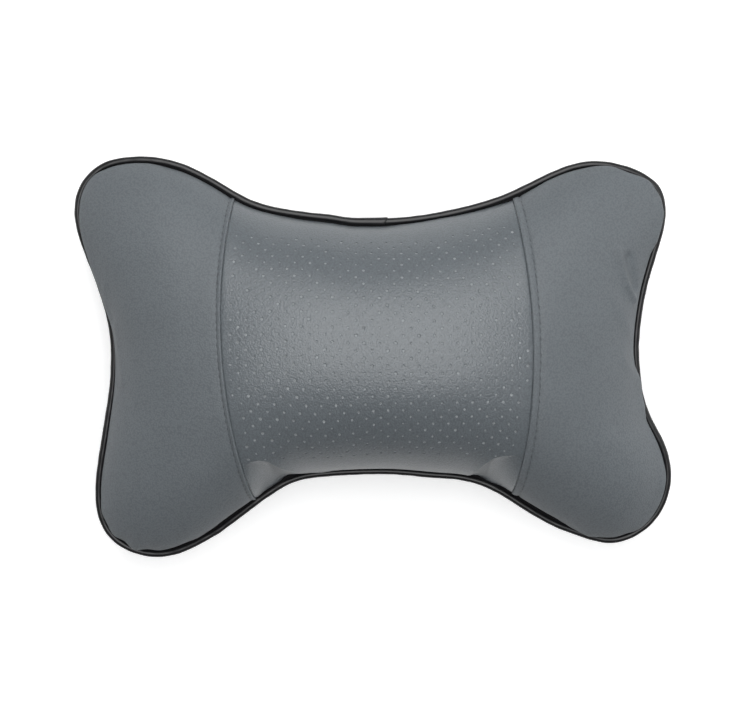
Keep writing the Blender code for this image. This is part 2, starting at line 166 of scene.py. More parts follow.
def photoPixel(place):
    tilt, distance = photoView["tilt"], photoView["distance"]
    x, y, above = place[..., 0], place[..., 1], place[..., 2] - cushion["seamLevel"]
    scale = distance / (distance - y * math.sin(tilt) - above * math.cos(tilt)) / photoView["pixelSize"]
    px = photoView["pillowMiddle"][0] + x * scale
    return px, photoView["pillowMiddle"][1] - (y * math.cos(tilt) - above * math.sin(tilt)) * scale


# small departures of the outline from its smooth curve: pixel, millimetres outwards, half length
outlineNudges = [
    (90, 171, -0.35, 5), (259, 201, -0.45, 14), (625, 164, -0.95, 14), (658, 188, 0.5, 6),
    (665, 220, -0.6, 12), (640, 320, 0.25, 15), (639, 372, 0.35, 8), (652, 418, -0.8, 12),
    (555, 526, 0.35, 10), (478, 485, -0.45, 14), (432, 476, 0.4, 8), (388, 475, -0.45, 10),
    (330, 474, 0.45, 10), (272, 492, 0.6, 16), (106, 412, 0.45, 14), (109, 336, -0.45, 12),
    (76, 205, 0.65, 12), (310, 213, 0.35, 28), (220, 183, 0.22, 10), (480, 204, 0.40, 22),
    (580, 162, 0.45, 16), (638, 340, -0.30, 16), (660, 235, -0.20, 14), (660, 500, -0.28, 16),
    (610, 542, 0.22, 8), (556, 527, 0.38, 14), (510, 500, 0.28, 14), (440, 477, 0.15, 20),
    (365, 474, 0.15, 20), (272, 492, 0.25, 6), (219, 533, 0.30, 6), (352, 217, -0.30, 5),
    (328, 215, 0.25, 6), (96, 480, -0.38, 16), (84, 250, -0.25, 12), (108, 390, -0.15, 16),
]


# the outline with its small departures; the drooping tips reach a little further out, so that they
# still show where the photograph has them
def settledOutline(curve):
    length = lengthsAlong(curve[:, :2])
    total = length[-1]
    pushed = np.zeros(len(curve))
    for px, py, amount, half in outlineNudges:
        x, y = photoPlace(px, py)
        away = np.abs(length - length[np.hypot(curve[:, 0] - x, curve[:, 1] - y).argmin()])
        away = np.minimum(away, total - away)
        pushed += amount * mm * bulge((away, 0, half * mm))
    curve[:, :2] += curve[:, 2:] * pushed[:, None]
    drop = droopAt(curve[:, :2])[:, None] / (photoView["distance"] * math.cos(photoView["tilt"]))
    curve[:, :2] += drop * (curve[:, :2] - [0, photoView["distance"] * math.sin(photoView["tilt"])])
    return curve


# the plain stuffed shape: one grid of points for the front and one for the back
def stuffedGrids():
    steps = cushion["curveSteps"]
    size = (cushion["length"], cushion["height"])
    curve = settledOutline(closedCurve(topEdge + rightEdge + bottomEdge + leftEdge, size, steps))
    cuts = np.cumsum([0, len(topEdge), len(rightEdge), len(bottomEdge), len(leftEdge)]) * steps
    looped = np.vstack([curve, curve[:1]])
    top, right, bottom, left = [looped[a:b + 1] for a, b in zip(cuts[:-1], cuts[1:])]
    right, bottom = right[::-1], bottom[::-1]
    ends, middle, rows = cushion["endColumns"], cushion["middleColumns"], cushion["rows"]
    shares = [
        1 - np.cos(np.linspace(0, math.pi / 2, ends + 1)),
        np.linspace(0, 1, middle + 1),
        np.sin(np.linspace(0, math.pi / 2, ends + 1)),
    ]
    v = (1 + np.sin(np.linspace(-math.pi / 2, math.pi / 2, rows + 1))) / 2
    rim = {"left": pointsBetween(left, v), "right": pointsBetween(right, v)}
    for name, line in (("top", top), ("bottom", bottom)):
        a = pointsBetween(line, shares[0], None, leftSeam[name])
        b = pointsBetween(line, shares[1], leftSeam[name], rightSeam[name])
        c = pointsBetween(line, shares[2], rightSeam[name], None)
        rim[name] = np.vstack([a[:-1], b[:-1], c])
    edge = {side: p[:, :2] - cushion["edgeInset"] * p[:, 2:] for side, p in rim.items()}
    posts = [edge["left"]]
    for column, seam in ((ends, leftSeam), (ends + middle, rightSeam)):
        post = edge["bottom"][column] * (1 - v[:, None]) + edge["top"][column] * v[:, None]
        post[:, 0] += (seam["bow"] + seam["sway"] * (1 - 2 * v)) * 4 * v * (1 - v)
        posts.append(post)
    posts.append(edge["right"])
    starts, columns = (0, ends, ends + middle), (ends, middle, ends)
    spans = [slice(first, first + count + 1) for first, count in zip(starts, columns)]
    patches = [
        filledPatch(posts[k], posts[k + 1], edge["bottom"][spans[k]], edge["top"][spans[k]], shares[k], v)
        for k in range(3)
    ]
    plan = np.concatenate([patches[0][:-1], patches[1][:-1], patches[2]])
    along = plan[:, rows // 2, 0]
    along = np.where(along < 0, along / along[0], along / along[-1])
    fall = np.sqrt(np.clip(1 - np.abs(along) ** cushion["endPower"], 0, 1))
    grids = []
    halves = ((1, cushion["frontCrown"], cushion["frontLean"]), (-1, cushion["backCrown"], 0))
    for side, crown, lean in halves:
        leant = v + lean * 4 * v * (1 - v)
        fullness = fall[:, None] * np.sqrt(np.clip(1 - (2 * leant - 1) ** 2, 0, 1))[None, :]
        rimLevel = cushion["seamLevel"] + side * cushion["hemLevel"]
        z = rimLevel + side * (crown - cushion["hemLevel"]) * fullness - droopAt(plan)
        grids.append(np.concatenate([plan, z[:, :, None]], axis=2))
    return curve, grids[0], grids[1]


outline, frontGrid, backGrid = stuffedGrids()
print("outline and stuffed shape:", frontGrid.shape)


# the back is pressed flat where the pillow lies on it
def pressedFlat(z, level, softness=1.2 * mm):
    above = (z - level) / softness
    free = 30                         # so far above, the flat has no effect left
    return level + softness * np.where(above > free, above, np.log1p(np.exp(np.minimum(above, free))))


backGrid[..., 2] = pressedFlat(backGrid[..., 2], cushion["restLevel"])

# places on the cover are a pair: across, 0 to 3 with the upright seams at 1 and 2, and up, -1 to 1
columnKnots = np.array([
    0, cushion["endColumns"], cushion["endColumns"] + cushion["middleColumns"],
    2 * cushion["endColumns"] + cushion["middleColumns"],
], float)


# cubic B-spline
def splineWeights(f):
    inner = [(3 * f**3 - 6 * f**2 + 4) / 6, (-3 * f**3 + 3 * f**2 + 3 * f + 1) / 6]
    return [(1 - f) ** 3 / 6, *inner, f**3 / 6]


# one more row of points past each edge, so that the surface reaches the edges
def padded(grid):
    grid = np.concatenate([2 * grid[:1] - grid[1:2], grid, 2 * grid[-1:] - grid[-2:-1]], axis=0)
    return np.concatenate([2 * grid[:, :1] - grid[:, 1:2], grid, 2 * grid[:, -1:] - grid[:, -2:-1]], axis=1)


# smooth surface through the grid, at any places
def surfaceAt(grid, across, up):
    x = np.interp(across, [0, 1, 2, 3], columnKnots)
    y = (np.asarray(up) + 1) / 2 * cushion["rows"]
    i = np.clip(np.floor(x).astype(int), 0, grid.shape[0] - 4)
    j = np.clip(np.floor(y).astype(int), 0, grid.shape[1] - 4)
    wx, wy = splineWeights(x - i), splineWeights(y - j)
    total = 0
    for a in range(4):
        for b in range(4):
            total = total + (wx[a] * wy[b])[..., None] * grid[i + a, j + b]
    return total


def surfaceNormal(grid, across, up, side):
    step = 0.004
    a0, a1 = np.clip(across - step, 0, 3), np.clip(across + step, 0, 3)
    b0, b1 = np.clip(up - step, -1, 1), np.clip(up + step, -1, 1)
    du = surfaceAt(grid, a1, up) - surfaceAt(grid, a0, up)
    dv = surfaceAt(grid, across, b1) - surfaceAt(grid, across, b0)
    normal = np.cross(du, dv) * side
    return normal / np.maximum(np.linalg.norm(normal, axis=-1), 1e-12)[..., None]


# ring of the panels' edge, with the length along it
ringPlace = outline[:, :2] - cushion["edgeInset"] * outline[:, 2:]
ringOut = outline[:, 2:]
ringLength = lengthsAlong(np.vstack([ringPlace, ringPlace[:1]]))
ringTotal = ringLength[-1]
ringLength = ringLength[:-1]


def ringPosition(px, py):
    x, y = photoPlace(px, py)
    gap = np.hypot(outline[:, 0] - x, outline[:, 1] - y)
    return ringLength[gap.argmin()]


# how far the cover rolls out over the piping, or pulls back from it where this is below zero:
# pixel of the photograph and millimetres, clockwise from the upper left tip
rimRoll = [
    (90, 171, 1.7), (102, 163, 0.7), (150, 156, 0.8), (172, 160, 0.1), (232, 190, 0), (272, 206, 0.3),
    (300, 211, -0.3), (341, 216, -0.4), (383, 218, -0.3), (398, 217, 0.4), (439, 212, 0.8), (493, 198, 0.1),
    (506, 193, -0.6), (519, 187, 0.1), (544, 175, 1.1), (583, 162, 0.9), (612, 161, 2.3), (632, 167, 1.4),
    (650, 178, 2.7), (658, 188, 1.8),
    (666, 214, 3.2), (660, 242, 2.4), (655, 255, 0.8), (645, 290, 0.5), (638, 351, 0.6), (638, 365, 1.0),
    (639, 379, 3.1), (647, 405, 2.8), (652, 418, 1.1), (668, 457, 0.7), (670, 478, 1.5), (660, 511, 1.4),
    (641, 532, 1.4), (628, 538, 0.1), (601, 542, 0.7), (587, 538, 2.1), (562, 528, 0), (549, 523, -2.3),
    (524, 509, -2.5), (500, 494, -0.9), (487, 489, 0.5), (474, 484, -1.2), (447, 478, 0.1), (391, 475, -0.4),
    (335, 474, 0.3), (322, 475, 1.0), (307, 478, 0.2), (294, 481, -2.1), (281, 486, 0.3), (257, 503, 0.4),
    (247, 512, -1.4), (230, 525, -2.1), (201, 543, 0.2), (189, 549, -1.1), (161, 556, 0), (147, 556, -0.8),
    (134, 552, 2.0), (121, 546, -0.4), (111, 538, 1.4),
    (103, 526, 0.6), (97, 513, 1.5), (95, 499, 0.8), (101, 444, 0.6), (110, 375, 1.0), (109, 333, 1.6),
    (103, 305, 2.8), (91, 270, 3.1), (79, 239, 2.3), (76, 211, 1.3),
]
rollPeak = 2.6 * mm                   # height above the rim at which it rolls out furthest


def rollRing():
    places = np.array([ringPosition(px, py) for px, py, amount in rimRoll])
    amounts = np.array([amount for px, py, amount in rimRoll]) * mm
    order = np.argsort(places)
    spots, half = 1600, 5
    fine = np.linspace(0, ringTotal, spots, endpoint=False)
    roll = np.interp(fine, places[order], amounts[order], period=ringTotal)
    smooth = bulge((np.linspace(-2, 2, 2 * half + 1), 0, 1))
    roll = np.convolve(np.concatenate([roll[-half:], roll, roll[:half]]), smooth / smooth.sum(), "valid")
    return np.interp(ringLength, fine, roll, period=ringTotal)


ringRoll = rollRing()


def nearestRing(xy):
    flat = xy.reshape(-1, 2)
    index = np.empty(len(flat), int)
    batch = 4000
    for a in range(0, len(flat), batch):
        part = flat[a:a + batch]
        gap = (part[:, :1] - ringPlace[None, :, 0]) ** 2 + (part[:, 1:] - ringPlace[None, :, 1]) ** 2
        index[a:a + batch] = gap.argmin(axis=1)
    return index.reshape(xy.shape[:-1])


# in both lower corners of the centre the cover pulls straight from a crease to the rim: pixels along
# the crease, how nearly straight the cover is pulled there, and the height of the crease's lip
cornerFacets = [
    {"crease": [(244, 466), (250, 462), (258, 460), (267, 461), (278, 467), (290, 471), (303, 473)],
     "pull": [0.12, 0.45, 0.85, 1.0, 0.9, 0.6, 0.0], "lip": 0.7},
    {"crease": [(522, 456), (512, 455), (503, 456), (494, 458), (483, 465), (475, 471), (464, 474)],
     "pull": [0.08, 0.30, 0.65, 0.9, 0.8, 0.5, 0.0], "lip": 0.5},
]
lipReach = {"rimwards": 1.3 * mm, "inwards": 7 * mm}


# places on a surface, with the length along it from the lowest of each column
def arcTable(grid, across, up):
    place = surfaceAt(grid, *everyPair(across, up))
    step = np.linalg.norm(np.diff(place, axis=1), axis=-1)
    return place, np.concatenate([np.zeros((len(across), 1)), np.cumsum(step, axis=1)], axis=1)


def facetLines():
    across, up = np.linspace(0.85, 2.15, 261), np.linspace(-1, 0, 241)
    place, arc = arcTable(frontPadded, across, up)
    px, py = photoPixel(place)
    lines = []
    for facet in cornerFacets:
        found = []
        for x, y in facet["crease"]:
            i, j = np.unravel_index(((px - x) ** 2 + (py - y) ** 2).argmin(), px.shape)
            found.append((across[i], up[j]))
        order = np.argsort([a for a, u in found])
        a, u = np.array(found)[order].T
        pull = np.array(facet["pull"])[order]
        beyond = 0.06                 # the pull fades out this far past the seam
        ends, outermost = ((1, 0), a[0] - beyond) if a[0] < 1.5 else ((0, 1), a[-1] + beyond)
        lines.append({
            "across": np.pad(a, ends, constant_values=outermost), "up": np.pad(u, ends, mode="edge"),
            "pull": np.pad(pull, ends), "lip": facet["lip"] * mm,
        })
    return {"across": across, "up": up, "arc": arc, "lines": lines}


# a field of values, read between its columns and rows
def sampleField(field, i, j):
    last = 1.0001                     # keeps a place inside the last cell
    i = np.clip(i, 0, field.shape[0] - last)
    j = np.clip(j, 0, field.shape[1] - last)
    a, b = i.astype(int), j.astype(int)
    f, g = i - a, j - b
    low = field[a, b] * (1 - g) + field[a, b + 1] * g
    high = field[a + 1, b] * (1 - g) + field[a + 1, b + 1] * g
    return low * (1 - f) + high * f


# column and row of a table at which places across and up lie
def tableSpot(table, across, up):
    a, u = table["across"], table["up"]
    return (across - a[0]) / (a[1] - a[0]), (up - u[0]) / (u[1] - u[0])


# lengths along the cover from the rim: to a place, and to the crease above or below it
def fromRim(across, up, line):
    creaseUp = np.interp(across, line["across"], line["up"])
    here = sampleField(facetGrid["arc"], *tableSpot(facetGrid, across, up))
    there = sampleField(facetGrid["arc"], *tableSpot(facetGrid, across, creaseUp))
    return here, there, creaseUp


def pulledCorners(place, normal, across, up):
    for line in facetGrid["lines"]:
        pull = np.interp(across, line["across"], line["pull"], left=0, right=0)
        near = (pull > 0) & (up < 0)
        if not near.any():
            continue
        a, u, k = across[near], up[near], pull[near]
        here, there, creaseUp = fromRim(a, u, line)
        rimPoint = surfaceAt(frontPadded, a, np.full(a.shape, -1.0))
        creasePoint = surfaceAt(frontPadded, a, creaseUp)
        share = np.clip(here / np.maximum(there, 1e-6), 0, 1)[:, None]
        straight = rimPoint + (creasePoint - rimPoint) * share
        below = (here < there)[:, None]
        moved = place[near]
        moved = np.where(below, moved + (straight - moved) * k[:, None], moved)
        away = here - there
        fade = np.where(away < 0, away / lipReach["rimwards"], -away / lipReach["inwards"])
        place[near] = moved + normal[near] * (np.exp(fade) * k * line["lip"])[:, None]
    return place


# soft folds in the side panels: pixels along the fold, height and half width in millimetres
softFolds = [
    ([(618, 250), (627, 284), (634, 300)], 1.5, 1.9), ([(629, 258), (636, 288)], -1.6, 2.3),
    ([(613, 300), (629, 330)], 0.55, 3.2), ([(624, 362), (634, 380)], 0.6, 2.6),
    ([(106, 284), (110, 303)], 0.55, 2.2), ([(112, 310), (115, 319)], -0.35, 2.0),
    ([(117, 328), (119, 346), (122, 380)], 0.5, 2.8), ([(124, 391), (127, 398)], -0.35, 2.2),
    ([(642, 418), (618, 432)], -0.4, 4.0), ([(172, 540), (176, 515)], -0.4, 3.5),
    ([(575, 180), (580, 205)], -0.3, 5.0), ([(168, 170), (172, 195)], -0.3, 5.0),
]


# the place on the plain front that the photograph shows at a pixel
def frontPlace(px, py):
    nearest = ((frontPixels[0] - px) ** 2 + (frontPixels[1] - py) ** 2).argmin()
    return frontSamples.reshape(-1, 3)[nearest]


def softFoldShift(place):
    total = np.zeros(place.shape[:-1])
    for pixels, height, width in softFolds:
        line = [frontPlace(*pixel) for pixel in pixels]
        off = np.full(place.shape[:-1], np.inf)
        for a, b in zip(line, line[1:]):
            d = b - a
            share = np.clip(((place - a) @ d) / (d @ d), 0, 1)
            off = np.minimum(off, np.linalg.norm(place - (a + share[..., None] * d), axis=-1))
        total += height * mm * bulge((off, 0, width * mm))
    return total


# shallow unevenness of a stuffed cover, in millimetres, with waves of about 40 to 100 mm
def slowWaves(xy):
    x, y = xy[..., 0] / mm, xy[..., 1] / mm
    waves = 0.35 * np.sin(x / 13.0 + y / 31.0 + 0.6) * np.sin(y / 17.0 - x / 47.0 + 1.1)
    return waves + 0.22 * np.sin(x / 7.3 - y / 10.1 + 2.0) * np.sin(y / 8.9 + x / 19.0)


# where the cover's details set in and fade out
coverReach = {
    "pull": 5 * mm,                   # in from the rim, where the cover stands back from the piping
    "frontWaves": 12 * mm, "backWaves": 10 * mm,    # from the rim
    "flat": 12 * mm,                  # height above the flat of the back at which it is loose again
    "seam": 0.15,                     # share of a side panel over which the folds set in
    "centreWaves": 0.35,              # the stretched centre panel is evener than the sides
}


# every place of the cover with its listed details, and the direction out of it
def coverAt(side, across, up):
    grid = frontPadded if side > 0 else backPadded
    place = surfaceAt(grid, across, up)
    normal = surfaceNormal(grid, across, up, side)
    if side > 0:
        place = pulledCorners(place, normal, across, up)
    xy = place[..., :2]
    near = nearestRing(xy)
    ring = ringPlace[near]
    rimLevel = cushion["seamLevel"] + side * cushion["hemLevel"] - droopAt(ring)
    depth = np.sqrt(((xy - ring) ** 2).sum(axis=-1) + (place[..., 2] - rimLevel) ** 2)
    outwards = np.concatenate([ringOut[near], np.zeros(near.shape + (1,))], axis=-1)
    roll = ringRoll[near] if side > 0 else 0.5 * ringRoll[near] + 0.3 * mm   # half as far at the back
    rolled = np.maximum(roll, 0) * (depth / rollPeak) * np.exp(1 - depth / rollPeak)
    pulled = np.minimum(roll, 0) * np.exp(-depth / coverReach["pull"])
    place = place + outwards * (rolled + pulled)[..., None]
    if side > 0:
        inner = 1 - bulge((depth, 0, coverReach["frontWaves"]))
        sides = np.clip((np.abs(across - 1.5) - 0.5) / coverReach["seam"], 0, 1)
        share = coverReach["centreWaves"] + (1 - coverReach["centreWaves"]) * sides
        lift = slowWaves(xy) * mm * inner * share + softFoldShift(place) * sides
    else:
        inner = 1 - bulge((depth, 0, coverReach["backWaves"]))
        loose = np.clip((place[..., 2] - cushion["restLevel"]) / coverReach["flat"], 0, 1)
        lift = slowWaves(xy[..., ::-1] * (1, -1)) * mm * loose * inner
    return place + normal * lift[..., None], normal


frontPadded, backPadded = padded(frontGrid), padded(backGrid)
frontSamples = surfaceAt(frontPadded, *everyPair(np.linspace(0, 3, 420), np.linspace(-1, 1, 280)))
frontPixels = photoPixel(frontSamples)
facetGrid = facetLines()


# one closed mesh, facing outwards and riding on the pillow's body
def newPiece(name, vertices, faces, materials):
    mesh = bpy.data.meshes.new(name)
    mesh.from_pydata(np.asarray(vertices).tolist(), [], faces)
    mesh.validate()
    mesh.shade_smooth()
    for material in materials:
        mesh.materials.append(material)
    piece = bpy.data.objects.new(name, mesh)
    bpy.context.scene.collection.objects.link(piece)
    shape = bmesh.new()
    shape.from_mesh(mesh)
    if shape.calc_volume(signed=True) < 0:
        bmesh.ops.reverse_faces(shape, faces=shape.faces)
        shape.to_mesh(mesh)
    shape.free()
    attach(piece, "root")
    return piece


def gridQuads(columns, rows):
    i, j = everyPair(np.arange(columns), np.arange(rows))
    a = (i * (rows + 1) + j).ravel()
    return np.column_stack([a, a + rows + 1, a + rows + 2, a + 1])


# closes an outer and an inner sheet of the same faces into one shell
def shellFaces(faces, count):
    walls = {}
    for face in faces:
        for k, n in zip(face, face[1:] + face[:1]):
            if walls.pop((n, k), None) is None:
                walls[(k, n)] = True
    turned = [[k + count for k in reversed(face)] for face in faces]
    return faces + turned + [[n, k, k + count, n + count] for k, n in walls]


# material building blocks
def nodeTree(name):
    material = bpy.data.materials.new(name)
    material.use_nodes = True
    tree = material.node_tree
    tree.nodes.clear()
    output = tree.nodes.new("ShaderNodeOutputMaterial")
    shader = tree.nodes.new("ShaderNodeBsdfPrincipled")
    tree.links.new(shader.outputs["BSDF"], output.inputs["Surface"])
    return material, tree, shader


def noiseNode(tree, where, scale, detail):
    noise = tree.nodes.new("ShaderNodeTexNoise")
    noise.inputs["Scale"].default_value = scale
    noise.inputs["Detail"].default_value = detail
    tree.links.new(where.outputs["Object"], noise.inputs["Vector"])
    return noise


def rangeNode(tree, value, toMin, toMax, fromMin=0, fromMax=1):
    changed = tree.nodes.new("ShaderNodeMapRange")
    changed.inputs["From Min"].default_value = fromMin
    changed.inputs["From Max"].default_value = fromMax
    changed.inputs["To Min"].default_value = toMin
    changed.inputs["To Max"].default_value = toMax
    tree.links.new(value, changed.inputs["Value"])
    return changed


def colourMix(tree, first, last):
    mix = tree.nodes.new("ShaderNodeMix")
    mix.data_type = "RGBA"
    mix.inputs[6].default_value = (*first, 1)
    mix.inputs[7].default_value = (*last, 1)
    return mix


def addBump(tree, shader, height, depth, strength=1):
    bump = tree.nodes.new("ShaderNodeBump")
    bump.inputs["Strength"].default_value = strength
    bump.inputs["Distance"].default_value = depth
    tree.links.new(height, bump.inputs["Height"])
    tree.links.new(bump.outputs["Normal"], shader.inputs["Normal"])


grainLook = {
    "bend": 420, "bendReach": 0.7 * mm,     # fineness and reach of the noise that bends the pebbles
    "poreEdge": 0.75,                       # where a pebble ends and its pore begins
    "rough": 2600, "roughShare": 0.22,      # the small roughness on the pebbles
    "patches": 16,                          # the slow changes of shade
}


# pressed leather grain: pebbles with fine pores, and slow changes of shade
def makeGrainGroup():
    group = bpy.data.node_groups.new("pebbleGrain", "ShaderNodeTree")
    for label, value in (("Pebble Size", 0.9), ("Softness", 0.5)):
        socket = group.interface.new_socket(label, in_out="INPUT", socket_type="NodeSocketFloat")
        socket.default_value = value
    for label in ("Height", "Pores", "Patches"):
        group.interface.new_socket(label, in_out="OUTPUT", socket_type="NodeSocketFloat")
    nodes, links = group.nodes, group.links
    start, end = nodes.new("NodeGroupInput"), nodes.new("NodeGroupOutput")
    where = nodes.new("ShaderNodeTexCoord")
    scale = nodes.new("ShaderNodeMath")
    scale.operation = "DIVIDE"
    scale.inputs[0].default_value = 1 / mm
    links.new(start.outputs["Pebble Size"], scale.inputs[1])
    bend = noiseNode(group, where, grainLook["bend"], 2)
    shift = nodes.new("ShaderNodeVectorMath")
    shift.operation = "MULTIPLY_ADD"
    shift.inputs[1].default_value = (grainLook["bendReach"],) * 3
    links.new(bend.outputs["Color"], shift.inputs[0])
    links.new(where.outputs["Object"], shift.inputs[2])
    cells = nodes.new("ShaderNodeTexVoronoi")
    cells.feature = "SMOOTH_F1"
    links.new(shift.outputs[0], cells.inputs["Vector"])
    links.new(scale.outputs[0], cells.inputs["Scale"])
    links.new(start.outputs["Softness"], cells.inputs["Smoothness"])
    pebble = rangeNode(group, cells.outputs["Distance"], 1, 0, fromMax=grainLook["poreEdge"])
    rough = noiseNode(group, where, grainLook["rough"], 3)
    height = nodes.new("ShaderNodeMath")
    height.operation = "MULTIPLY_ADD"
    height.inputs[1].default_value = grainLook["roughShare"]
    links.new(rough.outputs["Fac"], height.inputs[0])
    links.new(pebble.outputs[0], height.inputs[2])
    slow = noiseNode(group, where, grainLook["patches"], 4)
    links.new(height.outputs[0], end.inputs["Height"])
    links.new(pebble.outputs[0], end.inputs["Pores"])
    links.new(slow.outputs["Fac"], end.inputs["Patches"])
    return group


grainGroup = makeGrainGroup()


def makeLeather(name, look):
    material, tree, shader = nodeTree(name)
    links = tree.links
    grain = tree.nodes.new("ShaderNodeGroup")
    grain.node_tree = grainGroup
    grain.inputs["Pebble Size"].default_value = look["pebble"]
    grain.inputs["Softness"].default_value = look["softness"]
    patch = colourMix(tree, [c * 0.94 for c in look["colour"]], [c * 1.06 for c in look["colour"]])
    links.new(grain.outputs["Patches"], patch.inputs[0])
    # painted shade: the base colour is darkened by poreShade in the pores between the pebbles, the low
    # places of the grain
    pores = colourMix(tree, (1, 1, 1), (look["poreShade"],) * 3)
    pores.blend_type = "MULTIPLY"
    inPore = rangeNode(tree, grain.outputs["Pores"], 1, 0, fromMax=0.6)
    links.new(inPore.outputs[0], pores.inputs[0])
    links.new(patch.outputs[2], pores.inputs[6])
    links.new(pores.outputs[2], shader.inputs["Base Color"])
    rough = rangeNode(tree, grain.outputs["Patches"], look["roughness"] - 0.03, look["roughness"] + 0.04)
    links.new(rough.outputs[0], shader.inputs["Roughness"])
    addBump(tree, shader, grain.outputs["Height"], look["bumpDepth"] * mm, look["bump"])
    shader.inputs["IOR"].default_value = 1.5
    shader.inputs["Specular IOR Level"].default_value = look["specular"]
    return material


leatherLook = {
    "colour": (0.128, 0.145, 0.158), "specular": 0.5,
    "pebble": 0.80, "softness": 0.45, "poreShade": 0.80, "bump": 0.8, "bumpDepth": 0.11,
}
greyLeather = makeLeather("grey leather", {**leatherLook, "roughness": 0.60})
punchedLeather = makeLeather("punched leather", {**leatherLook, "roughness": 0.35})
pipingLook = {
    "colour": (0.010, 0.010, 0.011), "roughness": 0.33, "specular": 0.4,
    "pebble": 0.8, "softness": 0.8, "poreShade": 0.9, "bump": 0.2, "bumpDepth": 0.05,
}
pipingLeather = makeLeather("black piping leather", pipingLook)
pipingHem = makeLeather("black piping hem", {**pipingLook, "roughness": 0.8, "specular": 0.08})


# foam, cotton, fibre and thread: grain to a metre, depth of its bumps and its contrast
def makeSoft(name, colour, roughness, grain, depth, contrast):
    material, tree, shader = nodeTree(name)
    noise = noiseNode(tree, tree.nodes.new("ShaderNodeTexCoord"), grain, 5)
    mix = colourMix(tree, [c * (1 - contrast) for c in colour], colour)
    tree.links.new(noise.outputs["Fac"], mix.inputs[0])
    tree.links.new(mix.outputs[2], shader.inputs["Base Color"])
    addBump(tree, shader, noise.outputs["Fac"], depth)
    shader.inputs["Roughness"].default_value = roughness
    shader.inputs["Sheen Weight"].default_value = 0.15
    return material


paleFoam = makeSoft("pale foam", (0.44, 0.47, 0.49), 0.95, 330, 0.0003, 0.75)
cordCotton = makeSoft("cord cotton", (0.70, 0.69, 0.66), 0.9, 1500, 0.0002, 0.3)
whiteFibre = makeSoft("white fibre", (0.86, 0.86, 0.84), 1.0, 300, 0.001, 0.2)
greyThread = makeSoft("grey thread", (0.060, 0.068, 0.075), 0.6, 3000, 0.0001, 0.3)
print("materials")

# side panels: the seam allowances lie under their edge and make it stand up as far as the topstitching
sidePanelSizes = {
    "thickness": 2.6 * mm,
    "stitchPitch": 3.5 * mm,
    "ridge": 0.60 * mm, "ridgeAt": 0.44, "ridgeHalf": 0.50,   # shares of the way to the topstitching
    "fold": 0.20 * mm, "foldAt": 0.62 * mm, "foldHalf": 0.36 * mm,   # the folded edge's own rounding
    "stitchDip": {"left": 0.24 * mm, "right": 0.36 * mm},   # at the line of topstitching
    "holeDip": 0.32 * mm,             # where each stitch goes down
    "dipHalf": 0.42 * mm,
    "slope": 0.22 * mm, "slopeHalf": 2.2 * mm,   # the cover sinking towards the stitching
    "rollDown": 0.50 * mm, "rollHalf": 0.30 * mm,   # the folded edge turning into the seam
    "thread": 0.19 * mm,
}
topstitchOffset = {"left": 2.2 * mm, "right": 3.7 * mm}      # from the seam


# the side panels' mesh, in millimetres: how far each fine stretch reaches, and its step
panelMesh = {
    "seam": (5.0, 0.28), "pastStitching": (8.0, 0.5), "middleColumns": 52, "rim": (6.4, 0.4),
    "rowRim": 7.2, "middleRows": 240,
}


# columns of the mesh: finest from the seam to past the stitching, then coarse, then fine at the rim
def spacedColumns(grid, seamAt, endAt):
    places = np.linspace(seamAt, endAt, 600)
    length = lengthsAlong(surfaceAt(grid, places, np.zeros(600)))
    total = length[-1]
    (fine, fineStep), (past, pastStep) = panelMesh["seam"], panelMesh["pastStitching"]
    reach, step = panelMesh["rim"]
    near = np.concatenate([np.arange(0, fine, fineStep), np.arange(fine, past, pastStep)]) * mm
    middle = np.linspace(past * mm, total - reach * mm, panelMesh["middleColumns"], endpoint=False)
    rim = total - np.arange(reach, -0.01, -step) * mm
    return np.interp(np.concatenate([near, middle, rim]), length, places)


# rows of the mesh, with their lengths along the seam
def spacedRows(grid, seamAt):
    places = np.linspace(-1, 1, 1000)
    length = lengthsAlong(surfaceAt(grid, np.full(1000, float(seamAt)), places))
    total = length[-1]
    reach, step = panelMesh["rowRim"], panelMesh["rim"][1]
    rim = np.arange(0, reach - 0.01, step) * mm
    middle = np.linspace(reach * mm, total - reach * mm, panelMesh["middleRows"])
    spots = np.concatenate([rim, middle, total - rim[::-1]])
    return np.interp(spots, length, places), spots


def makeSidePanel(name, side):
    seamAt, endAt = (1, 0) if side == "left" else (2, 3)
    across = spacedColumns(frontPadded, seamAt, endAt)
    up, alongSeam = spacedRows(frontPadded, seamAt)
    place, normal = coverAt(1, *everyPair(across, up))
    step = np.linalg.norm(np.diff(place, axis=0), axis=-1)
    fromSeam = np.concatenate([np.zeros((1, len(up))), np.cumsum(step, axis=0)])
    sizes, stitch = sidePanelSizes, topstitchOffset[side]
    ridge = sizes["ridge"] * bulge((fromSeam, sizes["ridgeAt"] * stitch, sizes["ridgeHalf"] * stitch))
    ridge += sizes["fold"] * bulge((fromSeam, sizes["foldAt"], sizes["foldHalf"]))
    turn = math.pi * alongSeam / sizes["stitchPitch"]
    hole = np.cos(turn)[None, :] ** 8
    dip = sizes["stitchDip"][side] + sizes["holeDip"] * hole
    dip = dip * bulge((fromSeam, stitch, sizes["dipHalf"]))
    slope = sizes["slope"] * bulge((fromSeam, stitch, sizes["slopeHalf"]))
    bite = 1 + 0.5 * np.cos(2 * turn)[None, :]
    roll = sizes["rollDown"] * np.exp(-fromSeam / (sizes["rollHalf"] * bite))
    outer = place + normal * (ridge - dip - slope - roll)[..., None]
    inner = place - normal * sizes["thickness"]
    faces = gridQuads(len(across) - 1, len(up) - 1).tolist()
    vertices = np.vstack([outer.reshape(-1, 3), inner.reshape(-1, 3)])
    piece = newPiece(name, vertices, shellFaces(faces, fromSeam.size), [greyLeather])
    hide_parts("front_left_panel" if side == "left" else "front_right_panel")
    return outer, normal, fromSeam, alongSeam


leftSheet = makeSidePanel("leftPanel", "left")
rightSheet = makeSidePanel("rightPanel", "right")
print("side panels")

